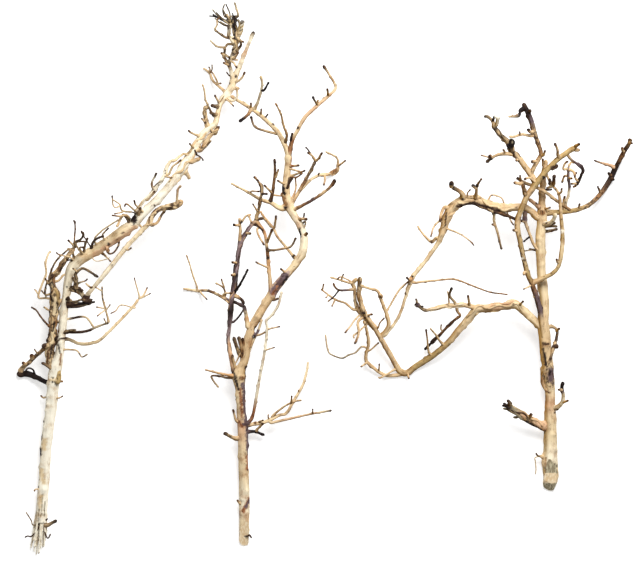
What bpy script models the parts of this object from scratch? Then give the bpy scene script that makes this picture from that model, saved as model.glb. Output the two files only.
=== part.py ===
"""Three dried branches lying loose beside each other on a flat surface: a long pale one, a curved one and a
spreading one. Each grew as one piece and is one closed solid. +Z is up and the surface is at Z = 0.

Every limb is a tapered tube along a route of hand-chosen points. Places are in millimetres on a sheet laid
over the three branches, X to the right and Y away, and heights are above the surface."""

import math

import bmesh
import bpy
from mathutils import Matrix, Vector

MM = 0.001
# The sheet position that becomes the origin: the middle of the three branches.
SHEET_MIDDLE_X = 356.8
SHEET_MIDDLE_Y = 309.4

# A limb starts on its parent's middle line. Bends of its route flatter than this are left out.
ROUTE_SLACK = 0.75
TWIG_SLACK = 1.3
LOWEST_TWIG_GAP = 0.5
# A limb's first point is dropped if it lies closer to its root than this share of its thickness.
FIRST_POINT_SHARE = 0.25

# STEMS hold the main limbs, each point as (x, y, height, thickness).
LONG_STEMS = {
    "trunk": [
        (45.5, 40, 6.6, 11.5), (45.5, 60, 5.7, 12.2), (48, 90, 6.6, 11.8), (50, 120, 9, 12),
        (53.4, 150, 12, 12), (56.7, 175, 15, 12.8), (59.3, 200, 18, 13.5), (61.5, 213, 20, 13),
        (65, 225, 22, 9.5), (67.5, 245, 24, 9), (69.8, 270, 27, 8.5), (72.2, 290, 30, 8),
        (75.5, 310, 32.5, 9.5), (79, 321, 34, 10.5), (88, 330.5, 36, 12), (100, 337.5, 38, 11.5),
        (115, 347, 40, 12), (135, 361, 43, 13), (147, 370, 44, 11.5), (155, 378, 45, 9),
        (169.5, 393, 46, 8.5), (180, 404, 46, 9), (198.5, 427.5, 44, 9), (209, 444, 42, 8),
        (218, 460, 39, 8), (229, 474, 36, 7), (237, 480, 34, 6), (240.5, 495, 31, 5),
        (242.5, 502, 30, 5.5), (250, 513, 28, 8), (254.5, 520, 28, 8), (257.5, 530, 28, 7),
        (262, 540, 29, 5.5), (268.5, 555, 32, 4.5), (274.5, 570, 37, 4), (279.3, 581, 41, 4),
    ],
    "strand": [
        (60, 205, 19, 9), (55, 225, 19, 9), (57, 243, 21, 8), (58, 262, 23, 7), (59.5, 276, 25, 8),
        (61, 290, 28, 11), (58, 302, 30, 6), (57.5, 312, 31, 4.5), (63, 316.5, 33, 4.2),
        (69, 327, 36, 4), (76, 336, 39, 4.2), (82, 343, 42, 4.5),
    ],
    "black_arm": [
        (58, 193, 17, 8), (50, 195.5, 11, 5), (40, 200.5, 5.6, 5.4), (33, 203.5, 2.9, 6.4),
        (27, 204.5, 2.7, 6), (22, 204.5, 3.3, 6.3), (18.5, 206.5, 4.5, 5.6),
    ],
    "runner": [
        (73, 299, 31, 6), (86, 297, 32, 6), (91, 291.5, 34, 4.5), (95, 288, 36, 4.5), (98, 294, 37, 4.5),
        (104, 301, 38, 4.5), (115, 314, 40, 5), (127, 329, 41, 5), (140, 345, 42, 5), (155, 361.5, 43, 5),
        (163, 369.5, 44, 4.5), (169, 380, 45, 3.4), (177, 386.5, 46, 4), (190, 389, 47, 6.5),
        (196, 391, 48, 6.5), (201, 395.5, 49, 5),
    ],
    "upper_rib": [
        (149, 374, 45, 6), (151, 384, 49, 4), (161, 398, 53, 3.8), (167, 402.5, 55, 4), (173, 411, 57, 4.5),
        (180, 421, 58, 4.5), (184, 432, 59, 3.6), (188.5, 439.5, 60, 2.6),
    ],
    "crown": [
        (256.5, 526, 28, 5.5), (253.5, 540, 31, 3.6), (251.5, 546, 33, 3.6), (254, 551.5, 36, 4),
        (258.5, 560, 39, 5), (259.7, 572, 42, 5), (258.5, 587, 45, 4.5), (257, 598, 48, 4),
    ],
    "resting_twig": [
        (249, 512, 28, 3.4), (244.5, 518, 22, 3), (238, 523.5, 13, 2.8), (233, 529, 5, 2.6),
        (231, 535, 1, 2.6), (227, 539, 1.6, 2.2), (223, 541.5, 4, 1.8),
    ],
}

# LIMBS are named because others grow from them: parent, root and tip thickness, rise, then (x, y) points.
# The rise is how far the tip lies above the root, or the name of the limb that the tip runs into.
LONG_LIMBS = {
    "grey_arm": ("black_arm", 4.6, 4, "strand", (21, 206), (24, 211), (31, 217), (42, 227), (53, 235)),
    "long_arm": (
        "trunk", 3.8, 2.8, -13, (66, 243), (76, 242.5), (86, 238.2), (97, 237.8), (109, 241.5), (122, 253.5),
        (138, 270), (147, 280), (152, 287),
    ),
    "dark_arm": (
        "trunk", 3.4, 2.4, 24, (69, 252), (82, 250.5), (96, 252), (108, 257), (120, 261),
    ),
    "dark_arm_up": ("dark_arm", 2.8, 1.7, 20, (118.5, 268), (114.5, 283), (113, 290), (112.8, 301)),
    "low_hook": (
        "strand", 2.4, 2.2, -16, (50, 288), (43.5, 288), (42, 291), (46, 303), (50.5, 315), (49.8, 326),
        (52.8, 336.6), (56, 340),
    ),
    "s_arm": (
        "runner", 3.8, 2.6, 26, (84, 308), (83.5, 315), (90, 320.5), (95, 319.5), (104, 314), (108.5, 311),
    ),
    "top_spur": ("trunk", 3, 2.4, 18, (93, 338), (93, 342), (95, 350), (97, 354.5)),
    "pale_whip": ("trunk", 2.4, 1.7, 30, (104, 352), (111, 361), (121, 368), (131, 374)),
    "hole_twig": ("trunk", 2.4, 1.5, 30, (147, 382), (135, 384), (132, 391), (125, 396)),
    "rib_knobs": ("upper_rib", 3, 2.6, 16, (168, 410), (167.5, 415), (171, 422), (172.3, 425.5)),
    "rib_link": ("upper_rib", 3, 2.2, "trunk", (192, 439), (201, 446), (205, 446)),
    "brown_rope": ("trunk", 5, 3.6, -5, (221, 451), (229, 463), (236, 471), (241.5, 477)),
    "left_rope": ("trunk", 4.4, 3.6, 6, (228.5, 477), (226, 487), (225, 493), (226, 498), (229, 496)),
    "tall_twig": (
        "trunk", 2.8, 2, 26, (234, 490), (227, 504), (225.5, 510), (225, 516), (223, 523),
    ),
    "crown_arch": (
        "crown", 3, 1.7, -22, (251, 567.5), (247, 564), (239, 565), (235, 568), (231, 572),
    ),
    "crown_bow": ("crown", 2.8, 2.4, 16, (250, 574), (242, 578.5), (236, 583)),
    "crown_side": ("crown", 3.4, 3, 8, (262, 575), (265, 582), (267.5, 593)),
    "crown_lean": ("crown", 3, 2.6, 14, (249, 549), (247, 554), (247.5, 563)),
    "loose_strand": ("trunk", 2.8, 2.6, 10, (256, 505), (261, 510), (261, 514), (260, 521)),
}

# TWIGS hang on a limb and nothing grows from them: root and tip thickness, rise, then (x, y) points.
LONG_TWIGS = {
    "trunk": [
        (1.8, 1.5, 8, (42, 77.5), (38.5, 77.5), (37, 75)),
        (2, 1.7, -9, (51, 179), (47, 178.5), (44, 181)),
        (1.8, 1.6, 8, (64, 178), (69.5, 180.5)),
        (3, 2.8, 8, (63, 196), (70, 196)),
        (3.6, 3, 11, (56, 211), (48, 216), (45.5, 216.5)),
        (2, 1.4, 16, (68, 231.5), (84, 230.5), (90, 223.5), (96.5, 226.5)),
        (3, 2, 12, (67, 249), (76, 252.5), (84, 253)),
        (2.8, 2, -12, (65, 262.5), (80, 266), (94, 267), (103, 256)),
        (5.6, 2, 18, (80, 281.5), (96, 282.5), (105, 284)),
        (2.8, 2.4, 16, (76, 287), (75, 289.5)),
        (2, 1.6, 22, (77, 333), (66, 335.5), (62, 338.5)),
        (2.2, 2, 20, (84, 348), (94, 350.5)),
        (3, 2.4, 22, (101, 343), (103, 350), (108, 354), (115, 356.5)),
        (2, 1.8, 26, (113, 357), (120, 365)),
        (2.2, 2, 24, (88, 343), (93, 344)),
        (2, 2, -18, (131, 349), (126, 339), (119.5, 337), (119.5, 342)),
        (2, 1.6, -16, (104, 341), (115, 335), (122, 328)),
        (3, 2.6, 12, (118, 343), (119, 338)),
        (2.2, 1.8, 34, (140, 379), (132, 378), (123.5, 379)),
        (3.4, 2.6, 22, (137, 379), (133, 375), (129, 366)),
        (2.2, 1.8, 30, (147, 385.5), (139.5, 391.5), (137.5, 388)),
        (2.2, 2, 30, (150, 390), (148, 395.5)),
        (2.8, 2.4, 16, (152.5, 381), (155.5, 387)),
        (2.4, 2, -10, (155, 367), (158, 362), (150, 357.5)),
        (7, 2.4, -10, (203, 428), (209, 419.5)),
        (2.6, 2, 16, (219, 466), (211, 469.5), (207, 472.5)),
        (2.4, 1.9, 18, (214, 452), (208.5, 458)),
        (4, 3.4, 9, (211, 438), (220.5, 441.5)),
        (3.6, 3, 14, (237, 490), (231, 492)),
        (4, 3, 9, (238, 499), (232, 500)),
        (2.4, 2, 12, (241, 503), (236, 511.5)),
        (2, 1.6, 16, (252, 504.5), (257.5, 498.5)),
        (2.6, 2.2, 16, (260, 526), (266, 530), (269.5, 537)),
        (3, 2.6, -6, (257, 518.5), (263.5, 519)),
    ],
    "black_arm": [
        (2.2, 1.8, 7, (38, 203), (36, 209), (31, 211), (27, 207)),
    ],
    "grey_arm": [
        (3.4, 3, 9, (28, 214), (24.5, 217)),
        (4, 3.4, 7, (35, 222), (34.5, 226)),
        (1.8, 1.5, 12, (41, 227), (37.5, 232)),
    ],
    "strand": [
        (4.2, 3.4, 10, (53, 236), (47, 235)),
        (2.4, 1.7, 14, (54, 257), (46, 266), (40, 274.5), (34, 278.5)),
        (1.8, 1.6, 12, (56, 273.5), (48, 278.5)),
        (2.2, 1.8, 16, (54, 303), (50, 310)),
        (3.4, 2.6, "trunk", (64, 280), (67, 286)),
        (2.4, 2.2, "trunk", (64, 307), (71, 314)),
        (2.2, 1.8, 20, (82, 350), (83, 362), (83, 369), (81.5, 374)),
        (2.4, 2, 14, (80, 347), (75, 352)),
        (3, 2.4, 26, (84, 350), (89, 352.5), (92.5, 357.5), (90, 361)),
    ],
    "long_arm": [
        (2, 1.5, 8, (153, 290), (149.5, 303), (147.5, 311)),
        (2.2, 1.6, -5, (157, 290.5), (160, 296), (162, 300.5)),
        (1.6, 1.5, 4, (148, 277), (133, 280.5), (127, 274), (121, 271)),
        (1.5, 1.5, 6, (157, 289), (166, 293.5)),
    ],
    "dark_arm": [
        (1.6, 1.5, 9, (117, 261), (114.5, 266)),
    ],
    "dark_arm_up": [
        (1.6, 1.5, 6, (114, 277), (106, 278.5)),
        (1.6, 1.5, 6, (116, 275), (107, 268)),
        (1.6, 1.5, 7, (113, 296), (105, 300.5)),
        (1.6, 1.5, 6, (118, 276), (122, 281.5)),
    ],
    "low_hook": [
        (1.7, 1.5, -8, (42, 292.5), (37.5, 298)),
        (1.7, 1.5, 8, (50, 291), (45.5, 296.5)),
    ],
    "runner": [
        (4.4, 3, 16, (83, 305), (80, 311)),
        (2, 1.6, 14, (86, 304), (94, 307), (96.5, 309.5)),
        (2, 1.8, 12, (95, 304), (99.5, 300), (102.5, 300.5)),
        (2.2, 1.8, 9, (141, 341), (145, 343.5)),
        (3, 2.6, -8, (167, 369), (173, 371), (178, 380), (182, 385)),
        (3, 2.4, 14, (195, 393), (196, 407), (199.5, 411.5)),
    ],
    "s_arm": [
        (1.8, 1.6, 8, (84, 318), (80, 321)),
    ],
    "hole_twig": [
        (1.7, 1.5, 8, (128, 387.5), (125, 390), (124, 401)),
        (1.8, 1.6, 10, (135, 382.5), (126, 380.5)),
    ],
    "upper_rib": [
        (2.4, 2, 12, (163, 396), (171, 406)),
        (2.2, 1.8, 10, (182, 422), (190, 420)),
        (2.6, 2.2, 12, (186, 424), (190, 432), (200, 440)),
    ],
    "left_rope": [
        (2, 1.8, 8, (226, 481), (221.5, 486)),
    ],
    "resting_twig": [
        (2, 1.6, 14, (239, 526), (234, 535.5), (231, 537)),
        (1.8, 1.5, 12, (231, 538), (229.5, 543)),
        (1.8, 1.6, 7, (240, 524), (243.5, 524.5)),
    ],
    "crown": [
        (2.4, 2, 9, (250, 545), (245.5, 547)),
        (2.2, 2, 18, (257, 547), (259, 543.5), (261, 541)),
        (2.6, 2.2, 14, (258, 552), (262.5, 558.5)),
        (3, 2.4, -7, (260, 562), (263, 563.5)),
        (2, 1.6, 26, (252, 592), (240, 598), (234, 605)),
        (2.2, 1.8, 12, (250, 591), (237, 597), (230, 598)),
        (2, 1.6, 22, (250, 595), (246, 610)),
        (2.2, 1.8, 15, (253, 597), (248, 611)),
        (2.2, 1.8, -8, (253, 586), (242, 592)),
        (4, 3, 8, (253, 592), (249, 598)),
        (2.2, 2, 18, (253, 575), (253.5, 582), (254, 590)),
        (2.6, 1.8, 10, (262, 598), (260, 607), (258, 613)),
    ],
    "crown_bow": [
        (2, 1.9, 9, (239, 588), (239, 593), (242, 596)),
    ],
    "crown_lean": [
        (2.4, 2.2, 6, (245, 556), (243.5, 558)),
    ],
    "crown_side": [
        (2.6, 2, 16, (263, 572), (268.5, 569)),
    ],
}

# The torn fibres at the foot of the long branch: root offset and height, then the tip's place and height.
FOOT_FIBRES = [
    (-4, 6, 33.5, 12.5, 3), (-3, 9.2, 37, 8.5, 7), (-1.6, 3.4, 39.5, 5.5, 2), (-0.4, 10, 42, 6.5, 9),
    (1, 6.4, 44, 12, 5.5), (2.2, 3, 46.5, 13, 2.2), (3, 9, 48, 14, 7.5), (3.8, 5.8, 50, 25, 5),
]
FIBRE_ROOT_Y = 46
FIBRE_ROOT_THICK = 3.2
FIBRE_TIP_THICK = 1.9
# A fibre bows sideways halfway along, by this share of its root's offset.
FIBRE_BOW = 0.2

CURVED_STEMS = {
    "trunk": [
        (269.5, 15.5, 5.4, 9.5), (268.6, 22, 5.3, 11.2), (268.7, 50, 5.3, 11.5), (268.5, 80, 7.5, 10.8),
        (267.4, 110, 10.5, 10.3), (266.7, 140, 14, 11.3), (265, 170, 18, 10), (264, 190, 21, 11),
        (262.8, 203, 23, 15), (265.5, 212, 25, 9.8), (269, 220, 26.5, 9), (271.5, 235, 29, 9.8),
        (277, 255, 32, 9), (284, 268, 34, 9.3), (291, 280, 36, 8.6), (298, 291, 37.5, 9.6),
        (306, 303, 39, 9.8), (318, 317, 40, 8.2), (326, 327, 40.5, 8.5), (332.5, 339, 41, 9),
        (334.5, 352, 41, 9), (331, 366, 40, 8.6), (324, 378, 39, 8), (318, 389, 38, 10.5),
        (315, 400, 38.5, 9), (315, 413, 40, 8), (316.5, 430, 42.5, 7), (317.5, 447, 45, 6.5),
    ],
    "left_riser": [
        (261, 198, 22, 8), (256.5, 210, 25, 5), (253.5, 225, 28, 4.5), (251.2, 242, 31, 4),
        (252.3, 254, 33, 4), (253.5, 272, 36, 5), (254.5, 285, 38, 5.5), (257.5, 300, 41, 5.3),
        (259.5, 318, 44, 4.7), (262, 334, 46, 4.6), (265, 350, 48, 4.8), (271, 360, 48, 4),
        (277, 368.5, 47, 3.8), (283, 373.5, 46, 4),
    ],
    "inner_riser": [
        (298, 291, 38, 5.4), (296.7, 311, 43, 4), (294.7, 331, 46, 4), (293.3, 347, 48, 3.6),
        (291, 360, 48, 3.6), (285, 369, 47, 3.8), (281.5, 373.5, 46, 4),
    ],
    "top_left": [
        (318, 442, 44, 6), (314, 455, 45, 5.5), (307, 468.5, 42, 5.2), (299, 478, 38, 5), (283, 492, 32, 4.5),
        (269, 501, 26, 4), (259, 507, 25.6, 3.2), (253.6, 510.6, 25.6, 2.6),
    ],
    "top_right": [
        (317.5, 442, 44, 6), (321, 460, 48, 5), (327, 472, 52, 4.2), (335, 486, 55, 4.4), (345, 496, 56, 4),
        (360, 509, 54, 3.5), (368.3, 517, 52, 3.2), (368.3, 523, 52, 3), (362, 534, 56, 2.6),
        (355.5, 543.5, 60, 2.8),
    ],
    "left_reach": [
        (254.5, 283, 38, 4.6), (243, 290, 30, 3.6), (231, 295.5, 17, 3.1), (222, 296.5, 6, 3),
        (217, 296, 1.2, 3), (209, 297.5, 1.2, 2.8), (201, 298.5, 3, 2),
    ],
    "first_bough": [
        (318, 388, 38, 5), (328, 404, 36, 3.7), (340, 425, 37, 3.6), (347, 438.5, 40, 3.4),
    ],
    "second_bough": [
        (329, 406, 36, 4), (340, 417, 29, 3.4), (350, 423, 20, 3.2), (359, 424, 8.5, 3.4),
        (366, 426, 1.6, 4.2), (371, 429, 1.8, 4), (372, 436, 4, 2.8), (370, 443, 9, 2.4),
        (358, 449.5, 17, 2),
    ],
    "third_bough": [
        (321, 384, 39, 4.4), (334, 390.5, 46, 3.4), (352, 401, 54, 3.2), (363, 410, 59, 3.2),
        (369, 418, 62, 3.8),
    ],
    "wand": [
        (268, 147, 15, 5), (274, 152, 17, 3.9), (278, 159, 19, 3.6), (282.5, 183, 27, 3.4), (286, 203, 33, 3.2),
        (290, 222, 39, 3), (292.5, 240, 44, 2.8), (294, 255, 48, 2.8), (293, 263, 50, 2.6),
        (299, 269.5, 52, 2.6), (306, 280, 55, 2.6), (310, 295.5, 58, 2.4),
    ],
    "side_arm": [
        (267, 146, 14.5, 5), (276, 148.8, 16, 4.4), (291, 151.5, 15, 4), (307, 159, 13, 3.6),
        (315, 161.5, 11, 3.4), (323, 175, 8.5, 3.2), (333, 192.5, 5.5, 2.8), (337.5, 208, 2.2, 2.4),
        (339, 218, 1.6, 2),
    ],
}

CURVED_LIMBS = {
    "peach_arm": ("side_arm", 3, 2.2, 13, (298, 151), (308, 153), (328, 157.5), (344, 161), (365, 164.5)),
    "over_arm": ("side_arm", 2.8, 2, 13, (300, 158.5), (312, 168.5), (323, 174), (332, 176)),
    "black_fork": ("trunk", 3.6, 2.6, -7, (276, 141), (281, 141), (286, 139), (291, 137)),
    "left_pair": ("trunk", 3.8, 1.8, 13, (254, 203), (248, 204), (237, 206.5), (225, 209.5)),
    "low_pair": ("trunk", 3, 2, -7, (250, 200.5), (243, 202), (233, 202.5), (234, 198), (240.5, 189.5)),
    "yellow_strand": ("trunk", 5, 3.6, 7, (273, 257), (270.5, 270), (268, 280.5)),
    "reach_twig": ("left_reach", 2.2, 1.6, 15, (213, 310), (210, 319), (204.3, 335)),
    "reach_hook": ("left_reach", 2.4, 1.8, 13, (248, 292), (246.5, 298), (244, 301), (237, 305)),
    "long_stick": (
        "trunk", 3, 2.2, "inner_riser", (323, 334), (314, 345), (305, 356), (300, 366), (289, 379),
        (287, 383), (284, 380),
    ),
    "cross_stick": (
        "inner_riser", 2.8, 2.2, 22, (306, 341.5), (320, 345), (325.5, 354.5),
    ),
    "spray": (
        "left_riser", 4, 2.6, 26, (282.5, 378), (285.5, 390), (288, 405), (287, 412), (282, 419),
        (279.5, 421.5),
    ),
    "bent_twig": (
        "left_riser", 3.4, 2.2, 14, (264, 352), (264.3, 364), (263.5, 375), (266, 372), (270.5, 378),
        (276.5, 380),
    ),
    "left_bough": (
        "trunk", 5.4, 2, 20, (308, 387), (298, 393), (286, 397), (270, 406), (260, 411), (254, 414.5),
    ),
    "bough_twig": ("left_bough", 3.8, 2.4, 22, (299, 400), (301, 412), (302.5, 427), (302, 441)),
    "split_twig": ("trunk", 3, 2.4, 11, (313, 402), (317, 412), (322, 421)),
    "top_twig": (
        "top_left", 3.5, 2.6, 30, (282, 500), (286, 511), (288.5, 523), (287, 532),
    ),
    "middle_wand": ("top_left", 3, 1.9, 40, (316, 469), (312, 477), (309, 490), (303, 502)),
    "left_black": ("top_left", 3.4, 3.2, 14, (272, 489), (263, 482)),
    "low_strand": ("top_left", 3, 2.4, -14, (304, 469), (290, 472.5), (280, 477), (276, 488)),
}

CURVED_TWIGS = {
    "trunk": [
        (2.6, 2.2, 6, (264, 62), (260.5, 66)),
        (4.4, 3, 10, (258, 134), (246, 139.5)),
        (2.8, 2.2, 8, (260, 153), (256, 166)),
        (4.4, 3.6, 9, (264, 226), (261, 233), (257, 245.5)),
        (5, 3.6, 11, (267, 226), (265.5, 234), (263, 246)),
        (3, 1.8, 12, (284, 247.5), (292, 250.5)),
        (2.6, 2.2, 10, (300, 285), (307, 288)),
        (2.4, 2.2, 10, (313, 317), (308.5, 320.5)),
        (3.2, 2.6, 14, (331, 375), (338, 374.5)),
        (2.8, 2.4, 8, (335, 357), (338, 360)),
        (2.8, 2.4, 12, (320, 433), (329.5, 434)),
        (2.4, 2, 17, (320, 430), (331, 427), (336, 428.5)),
        (2.6, 2.2, 6, (319, 422), (333, 427)),
        (2.2, 1.8, -8, (319, 394), (325, 407), (325, 421)),
        (2.4, 2, 14, (311, 414), (305, 417.5)),
    ],
    "left_riser": [
        (3, 2.4, 8, (258, 212), (255.5, 226)),
        (2.4, 1.9, "yellow_strand", (257, 262), (263, 268), (269, 277)),
        (3.4, 2.8, "yellow_strand", (258, 291), (266, 286)),
        (3, 2.2, 24, (260, 297), (268, 310), (273, 320)),
        (2.8, 2.4, 8, (257, 314), (254.5, 313)),
        (2.6, 2.4, 9, (259, 327), (255, 327.5)),
        (2.6, 2.4, 9, (272, 359), (276, 359)),
    ],
    "yellow_strand": [
        (3, 2.6, 8, (266, 280), (257, 284.5)),
    ],
    "inner_riser": [
        (2.2, 1.8, 14, (294, 322), (287, 325), (281, 328)),
        (3, 2.6, 16, (294, 350), (299.5, 364)),
        (2.4, 2, 16, (283, 364), (285, 356), (291, 346)),
    ],
    "long_stick": [
        (2.4, 2.2, 14, (302, 366), (303.8, 379)),
    ],
    "left_reach": [
        (1.8, 1.5, 11, (221, 294), (228, 286)),
        (1.8, 1.6, 8, (249, 285.5), (252, 282)),
        (2.2, 1.8, 12, (247, 293), (256, 294)),
    ],
    "reach_hook": [
        (2, 1.7, 8, (246.5, 300), (243.5, 309.5)),
    ],
    "wand": [
        (1.8, 1.5, 7, (292, 231), (302.5, 234)),
        (1.8, 1.5, 8, (295, 254), (308.5, 257)),
    ],
    "black_fork": [
        (2.8, 2.4, 9, (283, 144), (290, 150.5)),
    ],
    "side_arm": [
        (2, 1.8, 8, (285, 152), (290, 154)),
    ],
    "over_arm": [
        (2, 1.8, 9, (320, 173), (321, 181)),
    ],
    "peach_arm": [
        (1.8, 1.6, 8, (344, 161.5), (344, 166.5)),
    ],
    "spray": [
        (2, 1.8, 10, (283, 384), (278, 392)),
        (2.4, 2.2, 7, (288, 402.5), (294.5, 402.5)),
    ],
    "bent_twig": [
        (2.6, 2.4, 8, (263, 368), (257, 368.5)),
        (2.2, 2, 10, (274, 378), (277, 370)),
    ],
    "left_bough": [
        (1.9, 1.6, 14, (277, 405.5), (286, 405)),
    ],
    "bough_twig": [
        (2.2, 2, 7, (303.5, 421), (306.5, 430)),
        (2.4, 2.2, 12, (299, 404), (290.5, 412.4)),
        (2, 1.8, "trunk", (303, 401), (309, 400.5)),
    ],
    "first_bough": [
        (2.6, 2.2, 10, (344, 444), (338, 448.5)),
        (2.6, 2.4, 14, (350, 441), (354.5, 448)),
    ],
    "second_bough": [
        (2.2, 2, 12, (357.5, 418), (356, 412)),
        (2.2, 2, 9, (374, 435), (380.5, 440)),
    ],
    "top_twig": [
        (2.6, 2.2, 10, (290.5, 516.5), (296, 525.5)),
    ],
    "top_left": [
        (2.2, 2, 10, (276, 499), (276, 503)),
        (2.2, 2, 9, (287, 491), (287.5, 496.5)),
    ],
    "top_right": [
        (2.6, 2, 12, (320, 462), (321.5, 469.5)),
        (2.6, 2.4, 15, (348, 502), (344, 508.5)),
        (2.6, 2.2, 12, (361, 511), (360, 518)),
    ],
}

SPREADING_STEMS = {
    "trunk": [
        (604.5, 76, 7.6, 13), (605.5, 84, 7.7, 15.6), (606.3, 92, 8, 17), (605.5, 106, 8, 16.6),
        (605.7, 122, 8.6, 14.4), (605.5, 150, 11.5, 13), (605.5, 170, 14, 11.6), (605, 190, 17, 11.6),
        (603, 210, 20, 13), (600.5, 228, 23, 12.2), (598.6, 250, 26, 13), (597.5, 262, 27.5, 12.5),
        (599.3, 276, 29, 10), (597.5, 300, 31, 10.5), (595.6, 318, 33, 9.8), (594.8, 335, 35, 10),
        (594.2, 352, 37, 11), (595, 368, 38.5, 10), (596, 381, 40, 12), (596, 392, 42, 8),
        (596.6, 408, 46, 7), (597.2, 422, 50, 6.2), (599.3, 434, 53, 4.6), (600.3, 440, 55, 3.6),
    ],
    "front_riser": [
        (598, 246, 28, 7), (595, 268, 35, 6), (591.5, 284, 39, 5.8), (585.5, 302, 43, 5.4),
        (580, 316, 46, 5.5), (575, 335, 50, 5.2), (571.5, 351, 54, 5.4), (568.5, 367, 57, 6),
        (570, 377, 59, 6), (574, 388, 61, 6.4), (579, 399.5, 63, 7), (585, 408, 65, 7), (591.5, 417, 67, 6.6),
        (600, 427.5, 68, 6), (612, 439.5, 67, 5.5), (626, 450, 64, 5.5), (633, 453.5, 63, 5.2),
    ],
    "long_bough": [
        (598, 254, 27, 9), (588, 263, 28, 9), (576, 274, 29, 8.6), (566, 281.3, 30, 9), (553, 279, 31, 8),
        (537, 277.3, 31, 8.4), (524, 275.5, 30, 8), (515, 265, 26, 7.6), (505, 253, 22, 7.2),
        (495, 241, 17, 6.6), (482, 229, 12, 6.5), (468, 219, 7, 6.3), (457, 212.5, 4, 6.2),
        (450, 206.8, 2.9, 6.6), (444.5, 205.3, 2.9, 6.8), (439, 208.5, 3.6, 6.2), (434, 217, 7, 6),
        (425, 233, 15, 5.6), (417, 247, 23, 5.1), (409, 260, 30, 5), (401, 272, 35, 4.2), (396, 285, 40, 4.3),
        (395, 300, 45, 4.2), (396, 311, 49, 4.2),
    ],
    "upper_fork": [
        (530, 276, 30, 7), (512, 280, 33, 5), (505, 280.5, 35, 5), (490, 279, 38, 4.4), (475, 276, 41, 3.8),
        (467, 275, 42, 3.4), (460, 280, 43, 4), (456, 281, 43.5, 4.4),
    ],
    "second_upright": [
        (412, 254, 26, 4.4), (403, 264, 28, 4), (395, 273, 31, 4), (391, 284, 35, 3.8), (390, 297, 40, 3.6),
        (388.3, 305, 43, 3.6), (393, 309.5, 46, 3.6),
    ],
    "low_hook": [
        (446, 205.5, 3, 5), (435, 203, 2.4, 3.8), (426, 202.7, 3, 3.8), (418, 206, 4.5, 3.6), (409, 213, 7, 3.6),
        (403, 219, 9, 3.8), (402.7, 226, 12, 3.4), (405.5, 237, 17, 3.4), (404, 250, 24, 3.2),
        (400.5, 264, 30, 3.2),
    ],
    "right_arm": [
        (418, 244, 20, 5), (427, 257, 26, 4.4), (426, 268, 30, 4.2), (419, 287, 36, 3.6), (415, 296, 40, 3.2),
        (405, 299, 43, 2.8), (396.5, 301.5, 45.5, 2.4),
    ],
    "left_arm": [
        (597, 380, 40, 9), (591, 377.5, 41, 7.6), (584, 383.5, 42, 7), (573, 388, 43, 8), (555, 387, 45, 8.2),
        (544, 387.5, 46, 9), (532, 392.5, 47, 8.8), (520, 396.5, 47, 9.4), (508, 394.6, 46, 8.4),
        (497, 387, 44, 9.5), (491.5, 377, 42, 10.5), (488, 365, 40, 8), (484, 353, 38, 6),
        (480, 345.5, 37, 4.4), (466, 326, 36, 3.5), (453, 309.5, 35, 5), (446, 289, 31, 3),
        (441, 273, 28, 2.8), (432, 257, 25, 2.6), (421, 245, 21, 2.6),
    ],
    "right_bough": [
        (597, 382, 40, 8), (610, 382, 38, 6), (628, 384, 32, 5.2), (640, 387, 24, 5.2), (652, 393.5, 15, 5.4),
        (662, 404, 7, 5.4), (668, 412.5, 3, 5.7), (672.5, 420, 2.5, 6), (676, 428, 3.4, 5.8), (680, 436, 8, 5),
        (685.5, 447, 14, 4.9), (691, 456, 20, 4.4), (694, 463, 25, 3.4),
    ],
    "right_runner": [
        (584, 303.5, 43, 5.6), (596, 309.5, 45, 5), (607, 315, 46, 4.5), (614, 323, 46, 4.5), (617, 336, 46, 5),
        (618.5, 350, 47, 4.6), (618, 366, 49, 4.2), (616.3, 384, 52, 4), (615.6, 396, 55, 3.2),
        (613, 405, 58, 2.8), (607.5, 411.5, 61, 2.6), (603, 419, 64, 2.4), (599.5, 426, 67, 2.8),
    ],
    "diagonal": [
        (568, 420, 66, 3.4), (577, 414.5, 63, 3.6), (587, 411, 61, 3.8), (600, 404, 56, 3.8),
        (609, 397.5, 51, 3.6), (616, 392.5, 44, 3.4), (627.5, 384.5, 33, 3.2),
    ],
    "wavy_limb": [
        (589, 413, 65, 6.4), (584, 423, 66, 5), (586.5, 431, 68, 5), (591, 439, 70, 5), (594.5, 446, 72, 4.6),
        (591.5, 457, 76, 5), (587.5, 468, 79, 5.5), (584.5, 479, 82, 6), (580, 491, 86, 6),
        (576.5, 497.5, 89, 5.6), (574.7, 502, 91, 3),
    ],
    "charred_limb": [
        (588, 416, 65, 6.4), (583, 424, 66, 6.5), (573, 438, 70, 6.4), (564, 448, 74, 5.8),
        (560, 456, 77, 7.5), (556, 460.8, 79, 5), (550, 467, 82, 4.5), (544, 474.5, 85, 4.6),
        (540.5, 483, 88, 3.6), (535, 487.3, 90, 3), (531.5, 486.5, 91, 2.8),
    ],
    "ladder": [
        (593, 340, 37, 5), (587, 347, 40, 3.4), (582.5, 358, 43, 3.2), (579, 367, 45, 3.4), (577, 375, 46, 5),
        (577.5, 384, 44, 4),
    ],
    "under_strand": [
        (568, 374, 57, 4), (560, 378, 54, 2.8), (552, 380.5, 50, 2.8), (545, 382.5, 47, 3.2),
        (540, 384.5, 45, 3.5), (533, 388, 44, 3.8), (519, 392.5, 44, 4), (505, 390.5, 43.5, 3.6),
    ],
}

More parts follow.
